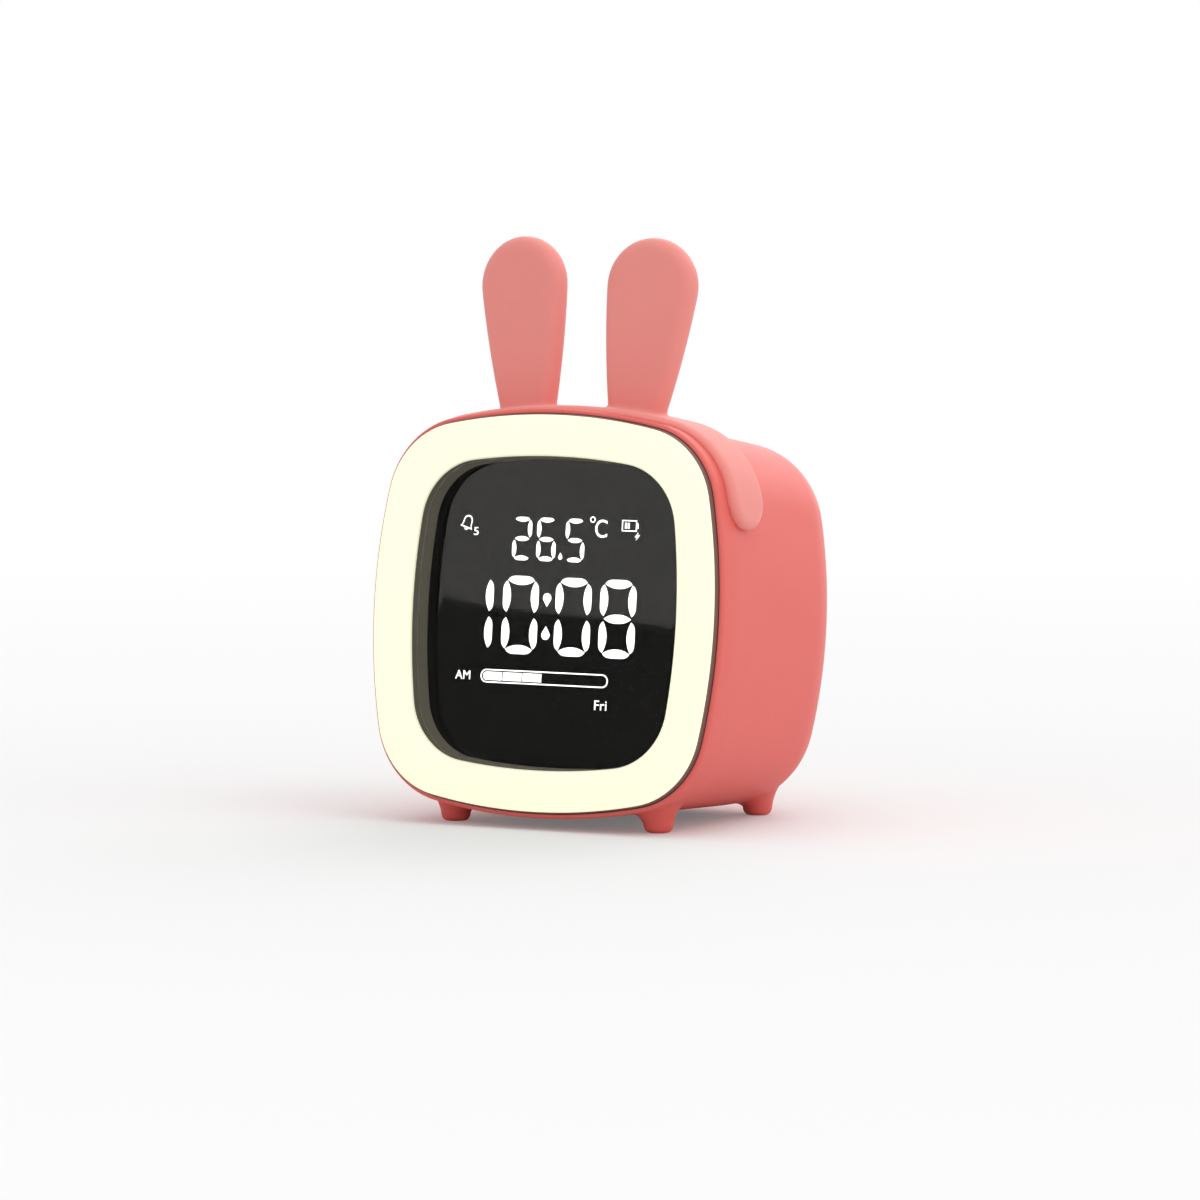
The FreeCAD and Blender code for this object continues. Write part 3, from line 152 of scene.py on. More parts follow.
def box(left: float, right: float, low: float, high: float) -> list[tuple[float, float]]:
    """Corners of a rectangle, from the lower left one round to the upper left one."""
    return [(left, low), (right, low), (right, high), (left, high)]


def turned(points: Corners, angle: float, x: float, z: float, size: float = 1.0) -> list[tuple[float, float]]:
    """Turn points about nought, size them and move them to a place.

    Args:
        points: (x, z) pairs.
        angle: the turn in radians.
        x: where nought goes across.
        z: where nought goes in height.
        size: the scale.

    Returns:
        The new (x, z) pairs.
    """
    c, s = math.cos(angle), math.sin(angle)
    return [(x + size * (a * c - b * s), z + size * (a * s + b * c)) for a, b in points]


class Grain(Enum):
    """How the fine relief of a surface is laid out."""

    MOULDED = "moulded"
    WOVEN = "woven"
    TRACKS = "tracks"


@dataclass(frozen=True)
class Finish:
    """A surface as it comes from its maker. Grain, cloud and relief are real sizes in millimetres."""

    name: str
    colour: str
    shade: str
    roughness: float
    grain: float = 0.35
    relief: float = 0.012
    cloud: float = 16.0
    ior: float = 1.46
    metallic: float = 0.0
    sheen: float = 0.0
    softness: float = 0.0
    glow: float = 0.0
    clear: float = 0.0
    spread: float = 0.06
    layout: Grain = Grain.MOULDED

    def material(self) -> bpy.types.Material:
        """The finish as a node material, made once.

        Returns:
            The material.
        """
        found = bpy.data.materials.get(self.name)
        if found:
            return found
        made = bpy.data.materials.new(self.name)
        made.use_nodes = True
        tree = made.node_tree
        tree.nodes.clear()
        place = put(tree, "ShaderNodeTexCoord").outputs["Object"]
        cloud = put(tree, "ShaderNodeTexNoise", {"Vector": place, "Scale": 1 / (self.cloud * MM),
                                                 "Detail": 2.0})
        height = self.relief_height(tree, place)
        factor = cloud.outputs["Fac"] if self.layout is Grain.MOULDED else height
        tint = put(tree, "ShaderNodeMix", {0: factor, 6: linear(self.colour), 7: linear(self.shade)},
                   data_type="RGBA")
        gloss = put(tree, "ShaderNodeMapRange", {
            "Value": height, "To Min": max(self.roughness - self.spread, 0.0),
            "To Max": self.roughness + self.spread})
        shader = put(tree, "ShaderNodeBsdfPrincipled", {"Base Color": tint.outputs[2],
                                                        "Roughness": gloss.outputs["Result"]})
        if self.relief > 0:
            bump = put(tree, "ShaderNodeBump", {"Height": height, "Distance": self.relief * MM})
            tree.links.new(bump.outputs["Normal"], shader.inputs["Normal"])
        self.set_shader(tree, shader, tint.outputs[2])
        put(tree, "ShaderNodeOutputMaterial", {"Surface": shader.outputs["BSDF"]})
        return made

    def relief_height(self, tree: bpy.types.NodeTree, place: bpy.types.NodeSocket) -> bpy.types.NodeSocket:
        """The fine relief: spark-eroded pits, a plain weave, or copper tracks under lacquer.

        Args:
            tree: the material's node tree.
            place: the place on the piece.

        Returns:
            A height from 0 to 1.
        """
        if self.layout is Grain.MOULDED:
            return put(tree, "ShaderNodeTexNoise", {"Vector": place, "Scale": 1 / (self.grain * MM),
                                                    "Detail": 1.0}).outputs["Fac"]
        if self.layout is Grain.TRACKS:
            row = self.grain * MM
            return put(tree, "ShaderNodeTexBrick", {
                "Vector": place, "Scale": 1.0, "Mortar Size": TRACK_GAP * row,
                "Brick Width": TRACK_LENGTH * row, "Row Height": row}).outputs["Fac"]
        waves = [put(tree, "ShaderNodeTexWave", {"Vector": place, "Scale": WAVE_LENGTH / (self.grain * MM)},
                     bands_direction=axis).outputs["Fac"] for axis in ("X", "Z")]
        return put(tree, "ShaderNodeMath", dict(enumerate(waves)), operation="MULTIPLY").outputs[0]

    def set_shader(self, tree: bpy.types.NodeTree, shader: bpy.types.Node,
                   tint: bpy.types.NodeSocket) -> None:
        """Set the even properties straight on the shader's sockets.

        Args:
            tree: the material's node tree.
            shader: the Principled shader.
            tint: the surface's colour.
        """
        if self.metallic == 0:
            shader.inputs["IOR"].default_value = self.ior
        shader.inputs["Metallic"].default_value = self.metallic
        shader.inputs["Sheen Weight"].default_value = self.sheen
        shader.inputs["Transmission Weight"].default_value = self.clear
        if self.softness > 0:
            shader.inputs["Subsurface Weight"].default_value = self.softness
            shader.inputs["Subsurface Radius"].default_value = SOFT_SHARES
            shader.inputs["Subsurface Scale"].default_value = SOFT_DEPTH * MM
        if self.glow > 0:
            tree.links.new(tint, shader.inputs["Emission Color"])
            shader.inputs["Emission Strength"].default_value = self.glow


# Coral ABS, moulded in a spark-eroded tool: an even satin skin with the finest of pits.
CORAL_ABS = Finish("coral_abs_satin", "#E3665E", "#DF6159", 0.46, grain=0.30, relief=0.010)
# Pale coral silicone, moulded and left matt: soft to the eye, light sinks in a little at the edges.
PINK_SILICONE = Finish("pink_silicone_matt", "#EC928A", "#E98C84", 0.62, grain=0.22, relief=0.008, sheen=0.15,
                       softness=0.25, ior=1.41)
# Opal acrylic lit from behind: an even warm white with no hot spots.
OPAL_ACRYLIC = Finish("opal_acrylic_lit", "#DBDBBF", "#DADAC0", 0.38, grain=0.5, relief=0.003, glow=0.64,
                      ior=1.49)
# Painted shade: a thin dark brown hoop round the ring's outer edge, standing in for the shadow in the gap
# between the ring and the rim.
RING_GAP_SHADE = Finish("opal_acrylic_masked_edge", "#6E4C45", "#75524A", 0.5, grain=0.4, relief=0.004, ior=1.49)
# Acrylic window with an anti-glare coat: clear, a faint smoke in it, next to no mirror of its own.
COATED_ACRYLIC = Finish("coated_acrylic_window", "#EDECE9", "#EBEAE7", 0.012, grain=40.0, relief=0.0,
                        clear=1.0, ior=1.02, spread=0.004)
# Black ABS with a fine sand texture: dull, a little brown where the ring lights it.
BLACK_ABS = Finish("black_abs_sanded", "#3B3835", "#474340", 0.58, grain=0.45, relief=0.020, cloud=1.2)
# Black ABS of the funnel and of the window's edge band, painted a lighter grey-brown and given a glow:
# painted light for the ring's light that creeps onto it.
RING_GLOW_PAINTED_ABS = Finish("black_abs_glow_washed", "#5F5C52", "#656258", 0.60, grain=0.45, relief=0.015, cloud=1.2,
                    glow=0.40)
# Black display glass: a deep even black under a hard shine.
BLACK_GLASS = Finish("black_display_glass", "#0A0A0A", "#0C0C0D", 0.02, grain=30.0, relief=0.0, ior=1.55,
                     spread=0.005)
# Lit liquid-crystal marks: flat cool white light.
LIT_MARK = Finish("lit_display_mark", "#FFFFFF", "#FDFEFF", 0.5, relief=0.0, glow=1.5)
# Coral silicone of the keys, a shade deeper than the housing: matt and rubbery.
KEY_SILICONE = Finish("key_silicone_matt", "#D9665C", "#D46157", 0.66, grain=0.2, relief=0.010, ior=1.41,
                      softness=0.15)
# White pad-printed ink on the keys: a thin slightly raised film.
WHITE_INK = Finish("white_pad_ink", "#F4F1EC", "#EFECE6", 0.5, grain=0.15, relief=0.004)
# Zinc-plated steel, stamped and tumbled: pale, a little cloudy.
ZINC_STEEL = Finish("zinc_plated_steel", "#C6C7C5", "#AEB2B4", 0.30, grain=0.4, relief=0.004, metallic=1.0,
                    cloud=1.5)
# Nickel-plated drawn steel of the socket: warm and bright.
NICKEL_SHELL = Finish("nickel_plated_shell", "#C9C3B8", "#BDB6AA", 0.22, grain=0.2, relief=0.002,
                      metallic=1.0, cloud=2.0)
# White ABS of the light trough: bright, slightly glossy.
WHITE_ABS = Finish("white_abs_reflector", "#F3F2EC", "#EEEDE6", 0.40, relief=0.006)
# White solder mask over copper tracks: bright, with faint straight ridges.
WHITE_BOARD = Finish("white_solder_mask", "#ECECE6", "#DCDDD4", 0.35, grain=1.2, relief=0.015,
                     layout=Grain.TRACKS)
# Green solder mask over copper tracks: deep green with the same ridges.
GREEN_BOARD = Finish("green_solder_mask", "#1F5D39", "#2C7449", 0.32, grain=1.0, relief=0.015,
                     layout=Grain.TRACKS)
# Epoxy moulding of chips and switches: flat charcoal.
CHIP_EPOXY = Finish("charcoal_chip_epoxy", "#26262A", "#2C2C30", 0.6, grain=0.2, relief=0.01)
# Lamp packages of clear warm resin: small glowing squares.
LAMP_RESIN = Finish("lamp_resin_warm", "#FFF3C4", "#FFEFB4", 0.2, relief=0.0, glow=1.5)
# Embossed aluminium pouch of the cell: dull silver with a fine crinkle.
POUCH_FOIL = Finish("aluminium_pouch_foil", "#C9CBCE", "#B4B8BC", 0.38, grain=1.4, relief=0.03, metallic=1.0)
# Copper foil of the touch sensor: a warm dull metal.
COPPER_FOIL = Finish("copper_foil_dull", "#C57B52", "#B26B45", 0.35, grain=0.6, relief=0.01, metallic=1.0)
# Open-cell polyurethane foam: dark grey, coarse and without any shine.
GREY_FOAM = Finish("grey_open_foam", "#55565A", "#3E3F43", 0.95, grain=0.5, relief=0.15, cloud=0.6)
# Black open-weave grille cloth, drawn at 0.6 mm so that the threads show.
GRILLE_CLOTH = Finish("black_grille_cloth", "#18181A", "#303034", 0.85, grain=0.6, relief=0.1, sheen=0.2,
                      layout=Grain.WOVEN)
# Red soft PVC of the leads: an even red, a little shiny.
RED_PVC = Finish("red_pvc_insulation", "#B8332C", "#A92C26", 0.45, grain=0.4, relief=0.006)
# White polyester ribbon: smooth and slightly glossy.
RIBBON_FILM = Finish("white_ribbon_film", "#E9E9E4", "#D4D6D6", 0.3, grain=0.8, relief=0.01)
# Natural nylon of stems and headers: milky cream.
NATURAL_NYLON = Finish("natural_nylon", "#EFE9DA", "#E9E2D0", 0.42, relief=0.006, softness=0.1)

# What the pieces inside are dressed in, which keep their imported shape.
INNER_PIECES: dict[Finish, tuple[str, ...]] = {
    WHITE_ABS: ("light_trough", "backlight_guide"),
    LAMP_RESIN: ("ring_leds",),
    WHITE_BOARD: ("front_board",),
    ZINC_STEEL: ("board_screws", "frame_screws", "main_board_screws", "speaker_basket",
                 "headband_screws"),
    GREY_FOAM: ("backlight_foam", "battery_pad", "speaker_gasket"),
    BLACK_ABS: ("battery_tray",),
    POUCH_FOIL: ("battery_cell",),
    NATURAL_NYLON: ("lead_headers", "set_switch_stem", "down_switch_stem", "up_switch_stem",
                    "lamp_switch_stem"),
    RED_PVC: ("battery_leads", "speaker_leads"),
    CHIP_EPOXY: ("switch_bodies", "board_chips", "socket_tongue", "speaker_cone"),
    GREEN_BOARD: ("main_board",),
    NICKEL_SHELL: ("charging_socket",),
    GRILLE_CLOTH: ("grille_mesh",),
    RIBBON_FILM: ("ribbon_cable",),
    COPPER_FOIL: ("touch_pad",),
}


@dataclass(frozen=True)
class Stance:
    """How the clock stands: leaned back on its feet, in the middle of its own footprint."""

    lean: float = 5.4
    dial_height: float = 42.1
    front_foot_y: float = 5.7

    def shift(self) -> float:
        """Depth offset of the whole clock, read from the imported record's front foot."""
        feet = [m for m in frame["record"]["mounts"] if m["name"] == "front_left_foot"]
        return feet[0]["pos_m"][1] / MM - self.front_foot_y

    def table(self) -> Matrix:
        """From the clock's frame to the table's frame, both in millimetres."""
        return Matrix.Translation((0, self.shift(), self.dial_height)) @ Matrix.Rotation(
            math.radians(-self.lean), 4, "X")

    def metres(self) -> Matrix:
        """From the clock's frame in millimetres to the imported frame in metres."""
        return Matrix.Scale(MM, 4) @ self.table()


@dataclass(frozen=True)
class Outline:
    """A cushion shape: four crowned sides joined by four round corners, all tangent."""

    half_width: float
    half_height: float
    corner: float
    crown: float
    side_steps: int = 12
    corner_steps: int = 14

    def grown(self, by: float) -> "Outline":
        """The outline moved outwards evenly."""
        return Outline(self.half_width + by, self.half_height + by, self.corner + by, self.crown + by,
                       self.side_steps, self.corner_steps)

    def quarter(self) -> list[tuple[float, float]]:
        """Points from the right-hand middle up to just before the top middle.

        Returns:
            (x, z) pairs.
        """
        a, b, q = self.crown - self.half_width, self.crown - self.half_height, self.crown - self.corner
        spread = math.hypot(a, b)
        reach = math.sqrt(q * q - spread * spread / 4) / spread
        cx, cz = -a / 2 + b * reach, -b / 2 + a * reach
        low, high = math.atan2(cz, cx + a), math.atan2(cz + b, cx)
        found = []
        for i in range(self.side_steps):
            t = low * i / self.side_steps
            found.append((-a + self.crown * math.cos(t), self.crown * math.sin(t)))
        for i in range(self.corner_steps):
            t = low + (high - low) * i / self.corner_steps
            found.append((cx + self.corner * math.cos(t), cz + self.corner * math.sin(t)))
        for i in range(self.side_steps):
            t = high + (math.pi / 2 - high) * i / self.side_steps
            found.append((self.crown * math.cos(t), -b + self.crown * math.sin(t)))
        return found

    def loop(self, y: float) -> Loop:
        """The whole outline at a depth, starting at the right-hand middle and going up.

        Args:
            y: depth in the clock's frame.

        Returns:
            The points.
        """
        first = self.quarter()
        top = [(0.0, self.half_height)]
        second = [(-x, z) for x, z in reversed(first[1:])]
        half = first + top + second
        lower = [(-x, -z) for x, z in half]
        return [Vector((x, y, z)) for x, z in half + lower]


class Skin:
    """Points and faces of one mesh, gathered in millimetres."""

    def __init__(self) -> None:
        """Start with nothing."""
        self.points: Loop = []
        self.faces: list[tuple[int, ...]] = []

    def add(self, points: Iterable[Vector]) -> list[int]:
        """Add points.

        Args:
            points: the new points.

        Returns:
            Their numbers.
        """
        start = len(self.points)
        self.points.extend(points)
        return list(range(start, len(self.points)))

    def bridge(self, a: Sequence[int], b: Sequence[int]) -> None:
        """Join two closed loops of equal length by quads."""
        n = len(a)
        self.faces += [(a[i], a[(i + 1) % n], b[(i + 1) % n], b[i]) for i in range(n)]

    def loft(self, loops: Sequence[Loop], ring: bool = False) -> None:
        """Skin a row of closed loops, capped at both ends, or joined end to end as a ring.

        Args:
            loops: loops with the same number of points.
            ring: join the last loop to the first one.
        """
        rows = [self.add(loop) for loop in loops]
        for a, b in zip(rows, rows[1:]):
            self.bridge(a, b)
        if ring:
            self.bridge(rows[-1], rows[0])
        else:
            self.faces += [tuple(reversed(rows[0])), tuple(rows[-1])]

    def plate(self, corners: Corners, front: float, back: float) -> None:
        """Add a thin plate from an (x, z) outline between two depths."""
        self.loft([[Vector((x, y, z)) for x, z in corners] for y in (front, back)])

    def mesh(self, name: str) -> bpy.types.Mesh:
        """The gathered mesh with its faces pointing outwards.

        Args:
            name: the mesh's name.

        Returns:
            A mesh in millimetres.
        """
        made = bpy.data.meshes.new(name)
        made.from_pydata(self.points, [], self.faces)
        face_outwards(made)
        return made


def lofted(name: str, loops: Sequence[Loop], ring: bool = False) -> bpy.types.Mesh:
    """Make the mesh of one row of closed loops.

    Args:
        name: the mesh's name.
        loops: loops with the same number of points.
        ring: join the last loop to the first one, and don't cap them.

    Returns:
        A mesh in millimetres.
    """
    skin = Skin()
    skin.loft(loops, ring)
    return skin.mesh(name)


def face_outwards(mesh: bpy.types.Mesh) -> None:
    """Turn a closed mesh's faces outwards.

    Args:
        mesh: the mesh, which is changed.
    """
    work = bmesh.new()
    work.from_mesh(mesh)
    bmesh.ops.recalc_face_normals(work, faces=work.faces)
    work.to_mesh(mesh)
    work.free()


def applied(obj: bpy.types.Object) -> bpy.types.Mesh:
    """The object's mesh with its modifiers applied.

    Args:
        obj: an object with modifiers.

    Returns:
        A new plain mesh.
    """
    bpy.context.view_layer.update()
    graph = bpy.context.evaluated_depsgraph_get()
    return bpy.data.meshes.new_from_object(obj.evaluated_get(graph), depsgraph=graph)


def scratch(mesh: bpy.types.Mesh) -> bpy.types.Object:
    """A temporary object round a mesh."""
    return linked(mesh.name + "_work", mesh)


def discard(*objects: bpy.types.Object) -> None:
    """Remove temporary objects."""
    for obj in objects:
        bpy.data.objects.remove(obj, do_unlink=True)


def cut(mesh: bpy.types.Mesh, tools: Sequence[bpy.types.Mesh]) -> bpy.types.Mesh:
    """Cut tool shapes out of a mesh.

    Args:
        mesh: the closed mesh that is cut.
        tools: closed meshes to take away.

    Returns:
        The remaining mesh.
    """
    body = scratch(mesh)
    helpers = [scratch(tool) for tool in tools]
    for helper in helpers:
        step = body.modifiers.new("cut", "BOOLEAN")
        step.operation = "DIFFERENCE"
        step.solver = "EXACT"
        step.object = helper
    result = applied(body)
    discard(body, *helpers)
    return result


@dataclass
class Repeat:
    """One item copied to many places by Geometry Nodes and turned into a plain mesh.

    places holds (position, turn as Euler angles, scale) in the clock's frame.
    """

    name: str
    item: bpy.types.Mesh
    places: list[Place]
    size: float = 1.0

    def tree(self) -> bpy.types.NodeTree:
        """The node tree: copies of Item on every point, turned and sized by the point's own values.

        Returns:
            The tree, with the inputs Item, Size and Finish.
        """
        found = bpy.data.node_groups.get("repeat_item")
        if found:
            return found
        tree = bpy.data.node_groups.new("repeat_item", "GeometryNodeTree")
        kinds = (("Geometry", "INPUT", "NodeSocketGeometry"), ("Item", "INPUT", "NodeSocketObject"),
                 ("Size", "INPUT", "NodeSocketFloat"), ("Finish", "INPUT", "NodeSocketMaterial"),
                 ("Geometry", "OUTPUT", "NodeSocketGeometry"))
        for label, side, kind in kinds:
            tree.interface.new_socket(name=label, in_out=side, socket_type=kind)
        given = put(tree, "NodeGroupInput")
        turn = put(tree, "GeometryNodeInputNamedAttribute", {"Name": "turn"}, data_type="FLOAT_VECTOR")
        reach = put(tree, "GeometryNodeInputNamedAttribute", {"Name": "reach"}, data_type="FLOAT_VECTOR")
        sized = put(tree, "ShaderNodeVectorMath", {0: reach.outputs["Attribute"]}, operation="SCALE")
        tree.links.new(given.outputs["Size"], sized.inputs["Scale"])
        item = put(tree, "GeometryNodeObjectInfo", {"Object": given.outputs["Item"]})
        copies = put(tree, "GeometryNodeInstanceOnPoints", {
            "Points": given.outputs["Geometry"], "Instance": item.outputs["Geometry"],
            "Rotation": turn.outputs["Attribute"], "Scale": sized.outputs["Vector"]})
        real = put(tree, "GeometryNodeRealizeInstances", {"Geometry": copies.outputs["Instances"]})
        dressed = put(tree, "GeometryNodeSetMaterial", {"Geometry": real.outputs["Geometry"],
                                                        "Material": given.outputs["Finish"]})
        put(tree, "NodeGroupOutput", {"Geometry": dressed.outputs["Geometry"]})
        return tree

    def mesh(self, finish: Finish) -> bpy.types.Mesh:
        """Run the tree.

        Args:
            finish: the copies' finish.

        Returns:
            A plain mesh of all the copies.
        """
        carrier = bpy.data.meshes.new(self.name)
        carrier.from_pydata([p for p, _, _ in self.places], [], [])
        for label, index in (("turn", 1), ("reach", 2)):
            values = carrier.attributes.new(label, "FLOAT_VECTOR", "POINT")
            values.data.foreach_set("vector", [c for place in self.places for c in place[index]])
        body, item = scratch(carrier), scratch(self.item)
        step = body.modifiers.new("repeat", "NODES")
        step.node_group = self.tree()
        given = {"Item": item, "Size": self.size, "Finish": finish.material()}
        for socket in step.node_group.interface.items_tree:
            if socket.in_out == "INPUT" and socket.name in given:
                step[socket.identifier] = given[socket.name]
        result = applied(body)
        discard(body, item)
        return result


@dataclass
class Bench:
    """Sets finished pieces into the frame and reports them."""

    stance: Stance
    made: list[str] = field(default_factory=list)

    def place(self, name: str, mesh: bpy.types.Mesh, finish: Finish, slot: str, body: str = CLOCK,
              replaces: Sequence[str] = (), crease: Optional[float] = 35.0) -> bpy.types.Object:
        """Set one mesh in place as a piece that rides on a body.

        Args:
            name: the piece's name.
            mesh: its mesh in the clock's frame, in millimetres.
            finish: its finish.
            slot: the record's material slot; not used.
            body: the body it moves with.
            replaces: nodes of the frame that it stands for.
            crease: edges sharper than this many degrees stay sharp; None keeps all smooth.

        Returns:
            The new object.
        """
        mesh.transform(self.stance.metres())
        mesh.name = name
        mesh.materials.clear()
        mesh.materials.append(finish.material())
        mesh.shade_smooth()
        for face in mesh.polygons:
            face.use_smooth = len(face.vertices) < CAP_CORNERS
        if crease is not None:
            mesh.set_sharp_from_angle(angle=math.radians(crease))
        obj = linked(name, mesh)
        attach(obj, body)
        if replaces:
            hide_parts(*replaces)
        self.made.append(name)
        LOG.info("%s: %d faces on %s", name, len(mesh.polygons), body)
        return obj


@dataclass(frozen=True)
class Housing:
    """The moulded housing: crowned sides that taper back into a round rear, on four stub feet."""

    half_width: float = 39.7
    half_height: float = 40.0
    corner: float = 17.7
    crown: float = 118.6
    back: float = 62.0
    taper: float = 3.4
    round_back: float = 18.3
    wall: float = 2.2
    front: float = 1.4
    rim_round: float = 0.8
    rebate: float = 3.0
    cover_inset: float = 10.7
    cover_gap: float = 0.25
    cover_rim: float = 2.4
    ledge_width: float = 2.0
    ledge_thick: float = 1.6
    rim_steps: int = 5
    side_steps: int = 6
    back_steps: int = 12
    inner_steps: int = 8
    foot_x: float = 23.0
    foot_rows: tuple[float, float] = (5.7, 45.1)
    foot_flat: float = 1.7
    foot_low: float = 2.95
    foot_low_height: float = 1.6
    foot_top: float = 5.3
    foot_sunk: float = 0.12
    foot_pull: tuple[float, float, float] = (0.5, 1.1, 3.2)
    foot_probe: float = 0.3
    foot_turns: int = 40
    foot_steps: int = 10

    def shrink(self, y: float, inset: float = 0.0) -> float:
        """How far the sides have drawn in at a depth, for a surface inset from the outside.

        Args:
            y: the depth.
            inset: how far inside the outer surface.

        Returns:
            The distance.
        """
        radius = self.round_back - inset
        past = max(0.0, y - (self.back - self.round_back))
        straight = self.taper * min(y, self.back) / self.back
        return inset + straight + radius - math.sqrt(max(radius * radius - past * past, 0.0))

    def section(self, y: float, inset: float = 0.0) -> Outline:
        """The housing's outline at a depth.

        Args:
            y: the depth.
            inset: how far inside the outer surface.

        Returns:
            The outline.
        """
        half_width = self.half_width - self.shrink(y, inset)
        half_height = self.half_height - self.shrink(y, inset)
        ratio = half_width / (self.half_width - inset)
        return Outline(half_width, half_height, (self.corner - inset) * ratio, self.crown * ratio)

    def meeting(self, half_width: float, inset: float) -> float:
        """Depth at which the inset surface has drawn in to a half width.

        Args:
            half_width: the half width.
            inset: how far inside the outer surface.

        Returns:
            The depth.
        """
        radius, y = self.round_back - inset, self.back
        for _ in range(6):
            across = half_width - self.half_width + self.taper * y / self.back + self.round_back
            y = self.back - self.round_back + math.sqrt(radius * radius - across * across)
        return y

    def cover_outline(self, grow: float) -> Outline:
        """Outline of the rear cover, which is the housing's own section, grown evenly.

        Args:
            grow: how far outwards, or inwards if negative.

        Returns:
            The outline.
        """
        ratio = (self.half_width - self.cover_inset) / self.half_width
        return Outline(self.half_width - self.cover_inset, self.half_height - self.cover_inset,
                       self.corner * ratio, self.crown * ratio).grown(grow)

    def ledge(self) -> float:
        """Depth of the ledge that the rear cover lies on."""
        return self.meeting(self.half_width - self.cover_inset, 0.0) - self.cover_rim

    def dome(self, start: float, inset: float, steps: int) -> list[Loop]:
        """Loops of the round rear from a depth to the flat back.

        Args:
            start: depth of the first loop.
            inset: how far inside the outer surface.
            steps: how many loops follow the first.

        Returns:
            The loops after the first, front to back.
        """
        radius, centre = self.round_back - inset, self.back - self.round_back
        first = math.asin((start - centre) / radius)
        turns = [first + (math.pi / 2 - first) * i / steps for i in range(1, steps + 1)]
        depths = [centre + radius * math.sin(t) for t in turns]
        return [self.section(y, inset).loop(y) for y in depths]

    def skin(self, window_ring: Outline) -> Skin:
        """The thick housing as one closed ring of loops.

        Args:
            window_ring: outline of the rebate that holds the glowing ring.

        Returns:
            The skin without feet.
        """
        loops = [window_ring.loop(self.front)]
        for t in quarter_turn(self.rim_steps):
            y = self.front + self.rim_round * (1 - math.cos(t))
            loops.append(self.section(y, self.rim_round * (1 - math.sin(t))).loop(y))
        straight = self.back - self.round_back
        depths = [self.front + self.rim_round + (straight - self.front - self.rim_round) * i / self.side_steps
                  for i in range(1, self.side_steps + 1)]
        edge = self.meeting(self.half_width - self.cover_inset + self.cover_gap, 0.0)
        last = math.asin((edge - straight) / self.round_back)
        depths += [straight + self.round_back * math.sin(last * i / self.back_steps)
                   for i in range(1, self.back_steps)]
        loops += [self.section(y).loop(y) for y in depths]
        opening = self.cover_outline(self.cover_gap)
        loops += [opening.loop(edge), opening.loop(self.ledge())]
        inner_ledge = self.ledge() - self.ledge_thick
        loops += [self.cover_outline(-self.ledge_width).loop(y) for y in (self.ledge(), inner_ledge)]
        inner_last = math.asin((inner_ledge - straight) / (self.round_back - self.wall))
        for i in range(self.inner_steps, -1, -1):
            y = straight + (self.round_back - self.wall) * math.sin(inner_last * i / self.inner_steps)
            loops.append(self.section(y, self.wall).loop(y))
        loops += [self.section(self.rebate, self.wall).loop(self.rebate), window_ring.loop(self.rebate)]
        made = Skin()
        made.loft(loops, ring=True)
        return made

    def add_feet(self, skin: Skin, stance: Stance) -> None:
        """Add the four stub feet, each flaring into the underside that it meets.

        Args:
            skin: the housing's skin, which gets the feet.
            stance: how the clock stands on the table.
        """
        to_table = stance.table()
        back_again = to_table.inverted()
        under = BVHTree.FromPolygons([to_table @ p for p in skin.points], skin.faces)
        for x in (-self.foot_x, self.foot_x):
            for row in self.foot_rows:
                loops = self.foot_loops(Vector((x, row + stance.shift(), 0)), under)
                skin.loft([[back_again @ p for p in loop] for loop in loops])

    def foot_loops(self, middle: Vector, under: BVHTree) -> list[Loop]:
        """Loops of one foot in the table's frame, from its flat up to the underside.

        Args:
            middle: the foot's middle on the table.
            under: the housing's surface.

        Returns:
            The loops.
        """
        ways = [Vector((math.cos(t), math.sin(t), 0)) for t in full_turn(self.foot_turns)]

        def height(way: Vector, reach: float) -> float:
            """Height of the underside, a reach away from the foot's middle."""
            spot = middle + way * reach
            return under.ray_cast(Vector((spot.x, spot.y, -self.foot_top)), Vector((0, 0, 1)))[0].z

        heights = [height(way, self.foot_top) for way in ways]
        slopes = [(height(way, self.foot_top + self.foot_probe) - h) / self.foot_probe
                  for way, h in zip(ways, heights)]
        loops = [[middle + way * (self.foot_flat / 2) for way in ways]]
        for t in quarter_turn(self.rim_steps):
            r = self.foot_flat + (self.foot_low - self.foot_flat) * math.sin(t)
            z = self.foot_low_height * (1 - math.cos(t))
            loops.append([middle + way * r + Vector((0, 0, z)) for way in ways])
        out, up, end = self.foot_pull
        for i in range(1, self.foot_steps + 1):
            t = i / self.foot_steps
            r = eased(t, self.foot_low, out, self.foot_top, end)
            loop = []
            for way, high, slope in zip(ways, heights, slopes):
                top = high + self.foot_sunk
                z = eased(t, self.foot_low_height, (top - self.foot_low_height) * up, top, end * slope)
                loop.append(middle + way * r + Vector((0, 0, z)))
            loops.append(loop)
        return loops

    def build(self, bench: Bench, window_ring: Outline) -> None:
        """Make the housing and set it in place.

        Args:
            bench: sets it in place.
            window_ring: outline of the rebate for the ring.
        """
        skin = self.skin(window_ring)
        self.add_feet(skin, bench.stance)
        bench.place("housing", skin.mesh("housing"), CORAL_ABS, "coral_plastic", replaces=["main_shell"])


def pill_loop(width: float, height: float, x: float, y: float, z: float, steps: int = 14) -> Loop:
    """A pill-shaped loop round a middle.

    Args:
        width: full width.
        height: full height.
        x: middle across.
        y: depth.
        z: middle height.
        steps: points on each round end.

    Returns:
        The points.
    """
    r, half = height / 2, width / 2 - height / 2
    found = []
    for side in (1, -1):
        for i in range(steps + 1):
            t = -math.pi / 2 + math.pi * i / steps
            found.append(Vector((x + side * (half + r * math.cos(t)), y, z + side * r * math.sin(t))))
    return found


